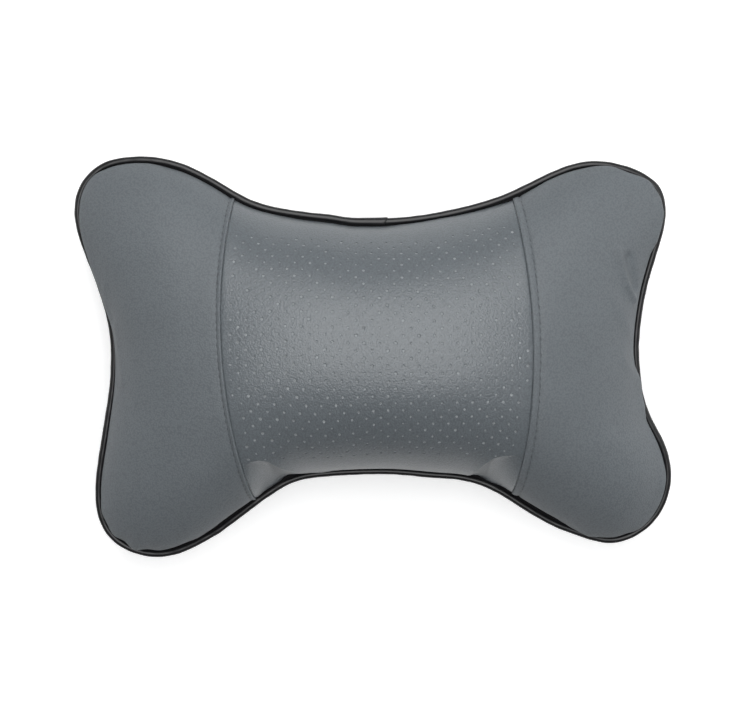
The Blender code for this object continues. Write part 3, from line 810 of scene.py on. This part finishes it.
# punched centre panel: square tiles of the flat leather, every other one with a hole
punching = {
    "across": 3.56 * mm, "up": 3.42 * mm,   # from a hole to the next column and the next row
    "firstHole": (386.3, 350.8),            # pixel of one of the holes
    "lowestRow": -51 * mm, "highestRow": 63 * mm,
    "rightRise": 8 * mm,                    # how much higher the rows go towards the right seam
    "riseFrom": 30 * mm, "riseOver": 25 * mm,
    "holeRadius": 0.61 * mm, "spread": (0.68, 1.15),
    "dimple": 0.06 * mm, "dimpleReach": 1.0 * mm, "dimpleStep": 0.16 * mm,
    "thickness": 0.32 * mm,
    "seamMargin": 0.8 * mm,                 # no hole's tile reaches nearer to a seam
    "seamGap": 0.08 * mm, "rollDown": 0.30 * mm, "rollHalf": 0.35 * mm,
    "width": 138 * mm,
    "tiles": (23, 29),                      # to each side of the first hole, and above and below it
}


# the cover of the centre, with how far right and how high along the leather its places are
def flatLeatherMap():
    across, up = np.linspace(0.88, 2.12, 160), np.linspace(-1, 1, 221)
    place = coverAt(1, *everyPair(across, up))[0]
    step = np.linalg.norm(np.diff(place[..., 1:], axis=1), axis=-1)
    height = np.concatenate([np.zeros((len(across), 1)), np.cumsum(step, axis=1)], axis=1)
    middle = len(up) // 2
    height -= height[:, middle:middle + 1]
    return {"across": across, "up": up, "right": place[..., 0], "high": height, "place": place}


# how far the stuffing has stretched the leather from its flat lattice, to the right and upwards,
# in millimetres at places in millimetres
def latticePull(s, t):
    x, y = s / mm, t / mm
    low = 1 / (1 + np.exp((y + 20) / 7))
    # to the right in the lower left, and a little over the middle
    right = 5.0 * low * bulge((x, -38, 32)) + 0.5 * bulge((x, 15, 40), (y, 0, 30))
    # inwards at the top and the bottom, and to the left in the lower right corner
    right -= 0.045 * x * (y / 65) ** 2 + 2.6 * bulge((x, 70, 30), (y, -60, 24))
    # down in the lower left, and over the lowest rows
    up = -5.2 * low * bulge((x, -32, 25)) - 1.5 / (1 + np.exp((y + 38) / 5))
    # down towards the right seam
    up -= (0.9 + 1.2 * (y / 60) ** 2) / (1 + np.exp((32 - x) / 8))
    # up over the upper middle, and beside the left seam
    up += bulge((x, 0, 24), (y, 42, 24)) + 1.2 * bulge((x, -74, 14))
    return right * mm, up * mm


flatMap = flatLeatherMap()


# places on the cover at which points of the flat leather lie, found step by step
def coverPlaces(s, t):
    right, high = flatMap["right"], flatMap["high"]
    pullS, pullT = latticePull(s, t)
    s, t = s + pullS, t + pullT
    i = right.shape[0] / 2 + s / mm * 0.9
    j = right.shape[1] // 2 + t / mm * 1.2
    longest, flattest = 15, 0.2 * mm                # limits of a step
    slopesI, slopesJ = np.gradient(right, axis=0), np.gradient(high, axis=1)
    for turn in range(14):
        gotS, gotT = sampleField(right, i, j), sampleField(high, i, j)
        overI = i - np.clip(i, 0, right.shape[0] - 1)
        overJ = j - np.clip(j, 0, right.shape[1] - 1)
        slopeI = sampleField(slopesI, i, j)
        slopeJ = np.maximum(sampleField(slopesJ, i, j), flattest)
        i = i + np.clip((s - gotS - overI * slopeI) / slopeI, -longest, longest)
        j = j + np.clip((t - gotT - overJ * slopeJ) / slopeJ, -longest, longest)
    across, up = flatMap["across"], flatMap["up"]
    return across[0] + i * (across[1] - across[0]), up[0] + j * (up[1] - up[0])


def firstHolePlace():
    right, high = flatMap["right"], flatMap["high"]
    px, py = photoPixel(flatMap["place"])
    offX, offY = punching["firstHole"][0] - px, punching["firstHole"][1] - py
    gap = offX ** 2 + offY ** 2
    i, j = np.unravel_index(gap.argmin(), gap.shape)
    perRight = (px[i + 1, j] - px[i - 1, j]) / (right[i + 1, j] - right[i - 1, j])
    perHigh = (py[i, j + 1] - py[i, j - 1]) / (high[i, j + 1] - high[i, j - 1])
    return right[i, j] + offX[i, j] / perRight, high[i, j] + offY[i, j] / perHigh


# flat drawing of the punched panel in places across and up, with the depth of each dimple
def punchedDrawing():
    p, q = punching["across"], punching["up"]
    third = 3                                # a tile is three squares by three
    tilesX, tilesY = punching["tiles"]
    seed = np.random.RandomState(11)
    holeX, holeT = firstHolePlace()
    nx, ny = 2 * tilesX * third + 1, 2 * tilesY * third + 1
    s = holeX + (np.arange(nx) / third - tilesX - 0.5) * p
    t = holeT + (np.arange(ny) / third - tilesY - 0.5) * q
    gridS, gridT = everyPair(s, t)
    a, u = coverPlaces(gridS, gridT)
    edge, margin = punching["seamGap"] / punching["width"], punching["seamMargin"] / punching["width"]
    inside = (a > 1 + edge) & (a < 2 - edge) & (np.abs(u) < 1)
    clear = (a > 1 + margin) & (a < 2 - margin) & (np.abs(u) < 0.97)
    risen = np.clip((gridS - punching["riseFrom"]) / punching["riseOver"], 0, 1)
    highest = punching["highestRow"] + punching["rightRise"] * risen
    clear &= (gridT > punching["lowestRow"]) & (gridT < highest)
    number = np.arange(nx * ny).reshape(nx, ny)
    faces, holes = [], []
    for i in range(2 * tilesX):
        for j in range(2 * tilesY):
            block = (slice(i * third, (i + 1) * third + 1), slice(j * third, (j + 1) * third + 1))
            if not inside[block].any():
                continue
            if (i + j) % 2 == (tilesX + tilesY) % 2 and clear[block].all():
                holes.append((i, j))
                continue
            for x in range(i * third, (i + 1) * third):
                for y in range(j * third, (j + 1) * third):
                    corner = [(x, y), (x + 1, y), (x + 1, y + 1), (x, y + 1)]
                    if any(inside[c] for c in corner):
                        faces.append([number[c] for c in corner])
    around = 4 * third
    angles = math.radians(225) + np.arange(around) * math.radians(360 / around)
    circle = np.column_stack([np.cos(angles), np.sin(angles)])
    ringS, ringT, dips = [], [], [np.zeros(nx * ny)]
    total = nx * ny
    for i, j in holes:
        x, y = i * third, j * third
        border = [(x + k, y) for k in range(third)]
        border += [(x + third, y + k) for k in range(third)]
        border += [(x + third - k, y + third) for k in range(third)]
        border += [(x, y + third - k) for k in range(third)]
        last = [number[c] for c in border]
        middle = (holeX + (i - tilesX) * p, holeT + (j - tilesY) * q)
        radius = punching["holeRadius"] * seed.uniform(*punching["spread"])
        rings = ((punching["dimpleReach"], 0), (radius + punching["dimpleStep"], 0.3), (radius, 1))
        for size, dip in rings:
            ringS.append(middle[0] + circle[:, 0] * size)
            ringT.append(middle[1] + circle[:, 1] * size)
            dips.append(np.full(around, dip * punching["dimple"]))
            now = list(range(total, total + around))
            total += around
            for k in range(around):
                n = (k + 1) % around
                faces.append([last[k], last[n], now[n], now[k]])
            last = now
    ringA, ringU = coverPlaces(np.concatenate(ringS), np.concatenate(ringT))
    a = np.concatenate([np.clip(a, 1 + edge, 2 - edge).ravel(), ringA])
    u = np.concatenate([np.clip(u, -1, 1).ravel(), ringU])
    print("punched panel:", len(holes), "holes")
    return a, u, np.concatenate(dips), faces


# how far from them the mesh is fine, in millimetres
finer = {"upperRim": 3.0, "lowerRim": 5.0, "seam": 1.6, "crease": 2.4}


# the drawing is cut finer along the rim, the seams and the creases; bmesh works on it in millimetres
def finerDrawing(a, u, dips, faces):
    drawing = bmesh.new()
    wide, tall = punching["width"] / mm, 80.0       # of the panel, and of the half above its middle
    used = np.unique(np.array(faces))
    corner = {k: drawing.verts.new((a[k] * wide, u[k] * tall, dips[k] / mm)) for k in used.tolist()}
    for face in faces:
        drawing.faces.new([corner[k] for k in face])
    bmesh.ops.remove_doubles(drawing, verts=drawing.verts[:], dist=0.05)
    bmesh.ops.dissolve_degenerate(drawing, edges=drawing.edges[:], dist=0.02)
    drawing.verts.ensure_lookup_table()
    places = np.array([v.co[:2] for v in drawing.verts])
    va, vu = places[:, 0] / wide, places[:, 1] / tall
    near = ((1 - vu) * tall < finer["upperRim"]) | ((1 + vu) * tall < finer["lowerRim"])
    near |= np.minimum(va - 1, 2 - va) * wide < finer["seam"]
    for line in facetGrid["lines"]:
        here, there = fromRim(va, vu, line)[:2]
        pull = np.interp(va, line["across"], line["pull"], left=0, right=0)
        near |= (pull > 0.02) & (np.abs(here - there) < finer["crease"] * mm)
    chosen = [e for e in drawing.edges if near[e.verts[0].index] and near[e.verts[1].index]]
    bmesh.ops.subdivide_edges(drawing, edges=chosen, cuts=2, use_grid_fill=True)
    bmesh.ops.triangulate(drawing, faces=[f for f in drawing.faces if len(f.verts) > 4])
    drawing.verts.ensure_lookup_table()
    drawing.verts.index_update()
    flat = np.array([v.co[:] for v in drawing.verts])
    cut = [[v.index for v in f.verts] for f in drawing.faces]
    drawing.free()
    return flat[:, 0] / wide, flat[:, 1] / tall, flat[:, 2] * mm, cut


def makeCentrePanel():
    a, u, dips, faces = finerDrawing(*punchedDrawing())
    place, normal = coverAt(1, a, u)
    fromSeam = np.minimum(a - 1, 2 - a) * punching["width"]
    lower = dips + punching["rollDown"] * np.exp(-fromSeam / punching["rollHalf"])
    outer = place - normal * lower[:, None]
    inner = place - normal * (punching["thickness"] + lower - dips)[:, None]
    faces = shellFaces(faces, len(a))
    piece = newPiece("centrePanel", np.vstack([outer, inner]), faces, [punchedLeather])
    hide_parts("front_centre_panel")
    print("punched panel:", sum(len(face.vertices) - 2 for face in piece.data.polygons), "triangles")


makeCentrePanel()

# sheets of one thickness: the foam behind the punched panel, and the back panel
foamSheet = {
    "across": (1.008, 1.992), "up": (-0.98, 0.98), "mesh": (100, 140), "thickness": 1.2 * mm,
    "behindHoles": 0.36 * mm, "sink": 0.9 * mm, "sinkOver": 3 * mm,
    "holesEnd": {"below": 8 * mm, "above": 9 * mm, "seams": 2.2 * mm},
}
backSheet = {"across": (0, 3), "up": (-1, 1), "mesh": (210, 140), "thickness": 2.4 * mm}


# the foam shows in the holes; under the plain leather it lies a little deeper
def foamDepth(across, up):
    high = sampleField(flatMap["high"], *tableSpot(flatMap, across, up))
    ends = foamSheet["holesEnd"]
    below = punching["lowestRow"] - ends["below"] - high
    above = high - punching["highestRow"] - ends["above"]
    fromSeam = np.minimum(across - 1, 2 - across) * punching["width"]
    past = np.maximum(np.maximum(below, above), ends["seams"] - fromSeam)
    return foamSheet["behindHoles"] + foamSheet["sink"] * np.clip(past / foamSheet["sinkOver"], 0, 1)


def noDepth(across, up):
    return np.zeros(across.shape)


def makeLayer(name, side, sheet, depth, material, node):
    columns, rows = sheet["mesh"]
    a, u = everyPair(np.linspace(*sheet["across"], columns + 1), np.linspace(*sheet["up"], rows + 1))
    place, normal = coverAt(side, a, u)
    depths = depth(a, u)[..., None]
    outer = (place - normal * depths).reshape(-1, 3)
    inner = (place - normal * (depths + sheet["thickness"])).reshape(-1, 3)
    faces = shellFaces(gridQuads(columns, rows).tolist(), len(outer))
    piece = newPiece(name, np.vstack([outer, inner]), faces, [material])
    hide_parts(node)


makeLayer("foamBacking", 1, foamSheet, foamDepth, paleFoam, "centre_foam_backing")
makeLayer("backPanel", -1, backSheet, noDepth, greyLeather, "back_panel")
print("foam and back panel")

stuffingSizes = {"mesh": (60, 40), "depth": 3.4 * mm, "rimIn": (0.05, 0.07, 0)}


# both sheets of the stuffing share the points of their rim
def makeStuffing():
    columns, rows = stuffingSizes["mesh"]
    a, u = everyPair(np.linspace(0, 3, columns + 1), np.linspace(-1, 1, rows + 1))
    middle = np.array([0, 0, cushion["seamLevel"]])
    sheets = []
    for side in (1, -1):
        place, normal = coverAt(side, a, u)
        sheets.append(place - normal * stuffingSizes["depth"])
    rimMiddle = (sheets[0] + sheets[1]) / 2
    rimMiddle += (middle - rimMiddle) * np.array(stuffingSizes["rimIn"])
    vertices = list(sheets[0].reshape(-1, 3))
    below = np.arange(len(vertices)).reshape(columns + 1, rows + 1)
    for i in range(columns + 1):
        for j in range(rows + 1):
            if i in (0, columns) or j in (0, rows):
                vertices[below[i, j]] = rimMiddle[i, j]
            else:
                below[i, j] = len(vertices)
                vertices.append(sheets[1][i, j])
    quads = gridQuads(columns, rows)
    under = below.reshape(-1)[quads[:, ::-1]]
    piece = newPiece("stuffing", vertices, np.vstack([quads, under]).tolist(), [whiteFibre])
    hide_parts("filling")


makeStuffing()
print("stuffing")

# piping: a strip folded round its cord, with both edges running in between the panels
piping = {
    "radius": 1.6 * mm, "skin": 0.5 * mm,
    "flangeHalf": 0.62 * mm, "flangeReach": 7.5 * mm, "slit": 0.15 * mm,
    "stations": 900, "ripple": 0.6,
    "jointPixels": (345, 385), "jointRow": 218,     # of the photograph, at the upper edge
}
cord = {"clearance": 0.15 * mm, "ends": (0.002, 0.998), "stations": 360, "around": 10}


# stations along the edge seam from the middle of the joint: places, directions outwards, full length
def pipingPath(count, start=0.0, end=1.0):
    line = outline[:, :2] - piping["radius"] * outline[:, 2:]
    length = lengthsAlong(np.vstack([line, line[:1]]))
    middle = ringPosition(sum(piping["jointPixels"]) / 2, piping["jointRow"])
    origin = length[np.abs(ringLength - middle).argmin()]
    places = (origin + np.linspace(start, end, count) * length[-1]) % length[-1]
    rows = np.column_stack([line, outline[:, 2:]])
    got = readBetween(places, length, np.vstack([rows, rows[:1]]))
    path = np.column_stack([got[:, :2], cushion["seamLevel"] - droopAt(got[:, :2])])
    outward = got[:, 2:] / np.linalg.norm(got[:, 2:], axis=1)[:, None]
    return path, np.column_stack([outward, np.zeros(count)]), length[-1]


# points of a section, outwards and upwards, at one station
def stationPoints(place, outward, points):
    return [place + outward * r + np.array([0, 0, z]) for r, z in points]


# faces round a swept section, with closed ends or looped
def sweepFaces(stations, around, looped=False):
    quads = []
    for k in range(stations if looped else stations - 1):
        here, ahead = k * around, (k + 1) % stations * around
        for i in range(around):
            n = (i + 1) % around
            quads.append([here + i, here + n, ahead + n, ahead + i])
    if not looped:
        quads.append(list(reversed(range(around))))
        quads.append([(stations - 1) * around + i for i in range(around)])
    return quads


def arcPoints(radius, start, end, count):
    angles = np.linspace(start, end, count)
    return np.column_stack([radius * np.cos(angles), radius * np.sin(angles)])


def makePiping():
    count, beadPoints = piping["stations"], 20
    path, outward, total = pipingPath(count, 0, 1 - 1 / count)
    radius, half = piping["radius"], piping["flangeHalf"]
    neck = math.pi - math.asin(half / radius)
    inside = radius - piping["skin"]
    innerNeck = math.pi - math.asin(piping["slit"] / inside)
    reach = -(radius + piping["flangeReach"])
    section = np.vstack([
        [(reach, -half)], arcPoints(radius, -neck, neck, beadPoints),
        [(reach, half), (reach, piping["slit"])],
        arcPoints(inside, innerNeck, -innerNeck, 10), [(reach, -piping["slit"])],
    ])
    bead = np.zeros(len(section))
    bead[1:beadPoints + 1] = 1
    s = np.linspace(0, total, count) / mm
    # the bead's unevenness, in shares of its radius
    ripple = 0.035 * np.sin(s / 2.1 + 3 * np.sin(s / 17)) + 0.05 * np.sin(s / 6.7 + 1.0)
    ripple += 0.03 * np.sin(s / 1.17)
    calm = np.clip(np.minimum(s, s[-1] - s) / 25, 0, 1)      # even under the joint's wrap
    vertices = []
    for k in range(count):
        grow = 1 + bead * ripple[k] * piping["ripple"] * calm[k]
        vertices += stationPoints(path[k], outward[k], section * grow[:, None])
    faces = sweepFaces(count, len(section), looped=True)
    piece = newPiece("pipingStrip", vertices, faces, [pipingLeather, pipingHem])
    places = np.arange(len(faces)) % len(section)
    inHem = (places == 0) | (places >= beadPoints)           # all but the round bead
    piece.data.polygons.foreach_set("material_index", inHem.astype(np.int32))
    piece.data.set_sharp_from_angle(angle=math.radians(50))
    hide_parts("piping_strip")


# the wrap over the joint widens to the right, and its cut end is slanted and pressed down
jointWrap = {
    "thin": 1.7 * mm, "thick": 2.05 * mm, "inside": 1.63 * mm, "opening": 38,
    "slant": 1.1 * mm, "press": 0.30 * mm, "stations": 64, "around": 22,
}


def makeJointWrap():
    half = 0.5 * (piping["jointPixels"][1] - piping["jointPixels"][0]) * photoView["pixelSize"]
    share = half / pipingPath(2)[2]
    count, around = jointWrap["stations"], jointWrap["around"]
    path, outward = pipingPath(count, -share, share)[:2]
    gap = math.radians(jointWrap["opening"])
    ring = arcPoints(1.0, gap - math.pi, math.pi - gap, around)
    vertices = []
    for k, s in enumerate(np.linspace(-1, 1, count)):
        outside = jointWrap["thin"] + (jointWrap["thick"] - jointWrap["thin"]) * (s + 1) / 2
        outside -= jointWrap["press"] * np.clip((s - 0.955) / 0.045, 0, 1)
        slant = jointWrap["slant"] * np.clip((s - 0.6) / 0.4, 0, 1)
        tangent = np.array([outward[k][1], -outward[k][0], 0])
        for points, radius in ((ring, outside), (ring[::-1], jointWrap["inside"])):
            vertices += stationPoints(path[k], outward[k] + tangent * slant / radius, points * radius)
    faces = sweepFaces(count, 2 * around)
    piece = newPiece("pipingJointWrap", vertices, faces, [pipingLeather])
    piece.data.set_sharp_from_angle(angle=math.radians(50))
    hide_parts("piping_joint_wrap")


def makeCord():
    count, around = cord["stations"], cord["around"]
    path, outward = pipingPath(count, *cord["ends"])[:2]
    radius = piping["radius"] - piping["skin"] - cord["clearance"]
    ring = arcPoints(radius, 0, 2 * math.pi * (1 - 1 / around), around)
    vertices = []
    for place, away in zip(path, outward):
        vertices += stationPoints(place, away, ring)
    piece = newPiece("pipingCord", vertices, sweepFaces(count, around), [cordCotton])
    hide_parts("piping_cord")


makePiping()
makeJointWrap()
makeCord()
print("piping")


# thread: each stitch a short rounded rod, bowed a little off the leather
def stitchRod(start, end, radius, lift):
    sides, rings = 8, 6
    axis = end - start
    length = np.linalg.norm(axis)
    axis = axis / length
    side = np.cross(axis, lift)
    side /= np.linalg.norm(side)
    up = np.cross(side, axis)
    vertices = []
    for k in range(rings + 1):
        f = k / rings
        width = radius * math.sqrt(max(1 - abs(2 * f - 1) ** 4, 0.02))
        middle = start + axis * length * f + lift * radius * 0.8 * (1 - (2 * f - 1) ** 2)
        for i in range(sides):
            t = 2 * math.pi * i / sides
            vertices.append(middle + side * width * math.cos(t) + up * width * math.sin(t))
    return vertices, sweepFaces(rings + 1, sides)


def joinRods(name, rods, material):
    vertices, faces = [], []
    for v, f in rods:
        base = len(vertices)
        vertices += v
        faces += [[k + base for k in face] for face in f]
    return newPiece(name, np.array(vertices), faces, [material])


# the line that runs along a sheet at one distance from its seam
def lineBeside(distance, fromSeam, field):
    return np.array([readBetween(distance, fromSeam[:, j], field[:, j]) for j in range(field.shape[1])])


def makeTopstitch(name, sheet, side):
    outer, normal, fromSeam, length = sheet
    pitch, stitch = sidePanelSizes["stitchPitch"], topstitchOffset[side]
    lane = lineBeside(stitch, fromSeam, outer)
    away = lineBeside(stitch, fromSeam, normal)
    beside = lineBeside(stitch + 0.4 * mm, fromSeam, outer)
    rods = []
    for k in range(1, int(length[-1] / pitch) - 1):
        ends = []
        for share, lean in ((0.10, 0.5), (0.90, -0.5)):      # each stitch leans a little across the line
            at = (k + share) * pitch
            p, q = readBetween(at, length, lane), readBetween(at, length, beside)
            ends.append(p + (q - p) * lean)
        lift = readBetween((k + 0.5) * pitch, length, away)
        rods.append(stitchRod(ends[0], ends[1], sidePanelSizes["thread"], lift / np.linalg.norm(lift)))
    joinRods(name, rods, greyThread)


makeTopstitch("leftTopstitch", leftSheet, "left")
makeTopstitch("rightTopstitch", rightSheet, "right")

# the opening for the stuffing is closed by hand, over the middle of the back's lower edge
closing = {
    "across": (1.18, 1.82), "bite": -0.972, "rim": -0.998,
    "pitch": 4.2 * mm, "slant": 0.9 * mm, "thread": 0.20 * mm,
}


def makeClosingStitches():
    across = np.linspace(*closing["across"], 300)
    low, lowOut = coverAt(-1, across, np.full(300, closing["bite"]))
    rim, rimOut = coverAt(-1, across, np.full(300, closing["rim"]))
    along = lengthsAlong(rim)
    rods = []
    for k in range(int(along[-1] / closing["pitch"])):
        at = (k + 0.5) * closing["pitch"]
        start = readBetween(at, along, low)
        end = readBetween(at + closing["slant"], along, rim)
        lift = readBetween(at, along, lowOut + rimOut)
        rods.append(stitchRod(start, end, closing["thread"], lift / np.linalg.norm(lift)))
    joinRods("closingStitches", rods, greyThread)


makeClosingStitches()
print("stitching")

# elastic strap over the back
strap = {
    "width": 25 * mm, "thickness": 1.3 * mm, "gap": 0.3 * mm, "across": (0.07, 2.93), "mesh": (240, 16),
    "edgeThin": 0.35, "rib": 0.05 * mm, "weave": (("Y", 200, 0.4), ("X", 320, 0.6)),
}


def makeStrap():
    columns, rows = strap["mesh"]
    across = np.linspace(*strap["across"], columns + 1)
    heights = np.linspace(-0.5, 0.5, rows + 1) * strap["width"]
    upTable = np.linspace(-0.6, 0.6, 160)
    places = np.zeros((columns + 1, rows + 1, 3))
    outs = np.zeros_like(places)
    for i, a in enumerate(across):
        line = surfaceAt(backPadded, np.full(160, a), upTable)
        up = np.interp(heights, line[:, 1], upTable)
        places[i] = surfaceAt(backPadded, np.full(rows + 1, a), up)
        outs[i] = surfaceNormal(backPadded, np.full(rows + 1, a), up, -1)
    edge = np.abs(np.linspace(-1, 1, rows + 1)) ** 12
    thick = strap["thickness"] * (1 - strap["edgeThin"] * edge)[None, :, None]
    ribs = strap["rib"] * np.cos(np.arange(rows + 1) * math.pi)[None, :, None]
    inner = places + outs * strap["gap"]
    outer = places + outs * (strap["gap"] + thick + ribs)
    outer = np.maximum(outer, [-1, -1, 0.05 * mm])           # it stays above the table
    faces = shellFaces(gridQuads(columns, rows).tolist(), (columns + 1) * (rows + 1))
    vertices = np.vstack([outer.reshape(-1, 3), inner.reshape(-1, 3)])
    piece = newPiece("elasticStrap", vertices, faces, [blackElastic])
    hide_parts("elastic_strap")


def makeElastic():
    material, tree, shader = nodeTree("black elastic")
    where = tree.nodes.new("ShaderNodeTexCoord")
    both = tree.nodes.new("ShaderNodeMath")
    both.operation = "MULTIPLY"
    for k, (direction, scale, wobble) in enumerate(strap["weave"]):
        wave = tree.nodes.new("ShaderNodeTexWave")
        wave.bands_direction = direction
        wave.inputs["Scale"].default_value = scale
        wave.inputs["Distortion"].default_value = wobble
        tree.links.new(where.outputs["Object"], wave.inputs["Vector"])
        tree.links.new(wave.outputs["Fac"], both.inputs[k])
    mix = colourMix(tree, (0.008, 0.008, 0.009), (0.030, 0.030, 0.032))
    tree.links.new(both.outputs[0], mix.inputs[0])
    tree.links.new(mix.outputs[2], shader.inputs["Base Color"])
    addBump(tree, shader, both.outputs[0], 0.25 * mm)
    shader.inputs["Roughness"].default_value = 0.8
    shader.inputs["Sheen Weight"].default_value = 0.2
    return material


blackElastic = makeElastic()
makeStrap()
print("strap")

# stage, light and camera
studio = {
    "floor": (0.93, 0.93, 0.93),
    "floorGlow": (0.19, 0.44),        # the table's own brightness, as thrown back and as seen
    "domeBehind": 0.85, "domeFront": 0.16,  # brightness of the room past the upper and the lower edge
    "domeSpan": (-0.9, 0.6),          # directions, front to behind, between which it changes
    "keyPower": 29.9, "keySize": (0.95, 2.10), "keyDistance": 1.5, "keyTilt": 17,
    "sidePower": {"left": 3.4, "right": 5.9}, "sideSize": (0.7, 1.4), "sidePlace": (1.25, 0.50, 0.45),
}


def softbox(name, size, power, place, turned):
    light = bpy.data.lights.new(name, "AREA")
    light.shape = "RECTANGLE"
    light.size, light.size_y = size
    light.energy = power
    lamp = bpy.data.objects.new(name, light)
    lamp.location = place
    lamp.rotation_euler = turned
    bpy.context.scene.collection.objects.link(lamp)


def makeStage():
    mesh = bpy.data.meshes.new("floor")
    shape = bmesh.new()
    bmesh.ops.create_grid(shape, x_segments=2, y_segments=2, size=4)
    shape.to_mesh(mesh)
    shape.free()
    floor = bpy.data.objects.new("floor", mesh)
    bpy.context.scene.collection.objects.link(floor)
    floor.location.z = -0.2 * mm      # just under the pillow
    material, tree, shader = nodeTree("white table")
    shader.inputs["Base Color"].default_value = (*studio["floor"], 1)
    shader.inputs["Roughness"].default_value = 0.9
    shader.inputs["Specular IOR Level"].default_value = 0.1
    shader.inputs["Emission Color"].default_value = (1, 1, 1, 1)
    path = tree.nodes.new("ShaderNodeLightPath")
    glow = rangeNode(tree, path.outputs["Is Camera Ray"], *studio["floorGlow"])
    tree.links.new(glow.outputs[0], shader.inputs["Emission Strength"])
    mesh.materials.append(material)

    world = bpy.data.worlds.new("studio")
    world.use_nodes = True
    nodes, links = world.node_tree.nodes, world.node_tree.links
    where, parts = nodes.new("ShaderNodeTexCoord"), nodes.new("ShaderNodeSeparateXYZ")
    links.new(where.outputs["Generated"], parts.inputs[0])
    front, behind = studio["domeFront"], studio["domeBehind"]
    level = rangeNode(world.node_tree, parts.outputs["Y"], front, behind, *studio["domeSpan"])
    level.interpolation_type = "SMOOTHSTEP"
    links.new(level.outputs[0], nodes["Background"].inputs["Strength"])
    bpy.context.scene.world = world

    tilt = math.radians(studio["keyTilt"])
    reach = studio["keyDistance"]
    above = (0.05, math.sin(tilt) * reach, math.cos(tilt) * reach + 0.05)
    softbox("softbox above", studio["keySize"], studio["keyPower"], above, (-tilt, 0, 0))
    x, y, z = studio["sidePlace"]
    for side, sign in (("left", -1), ("right", 1)):
        turn = sign * math.atan2(x, z - cushion["seamLevel"])
        power = studio["sidePower"][side]
        softbox("softbox " + side, studio["sideSize"], power, (sign * x, y, z), (0, turn, 0))


def makeCamera():
    camera = bpy.data.cameras.new("camera")
    sensor = 36
    camera.sensor_width = sensor
    camera.lens = sensor * photoView["distance"] / (photoView["width"] * photoView["pixelSize"])
    camera.clip_start = 0.05
    item = bpy.data.objects.new("camera", camera)
    tilt, distance = photoView["tilt"], photoView["distance"]
    offX = (photoView["width"] / 2 - photoView["pillowMiddle"][0]) * photoView["pixelSize"]
    offY = (photoView["pillowMiddle"][1] - photoView["height"] / 2) * photoView["pixelSize"]
    back = distance * math.sin(tilt) + offY * math.cos(tilt)
    item.location = (offX, back, cushion["seamLevel"] + distance * math.cos(tilt))
    item.rotation_euler = (-tilt, 0, 0)
    bpy.context.scene.collection.objects.link(item)
    bpy.context.scene.camera = item


makeStage()
makeCamera()
bpy.context.scene.view_settings.view_transform = "Standard"
bpy.context.scene.view_settings.look = "None"
print("stage, light and camera")
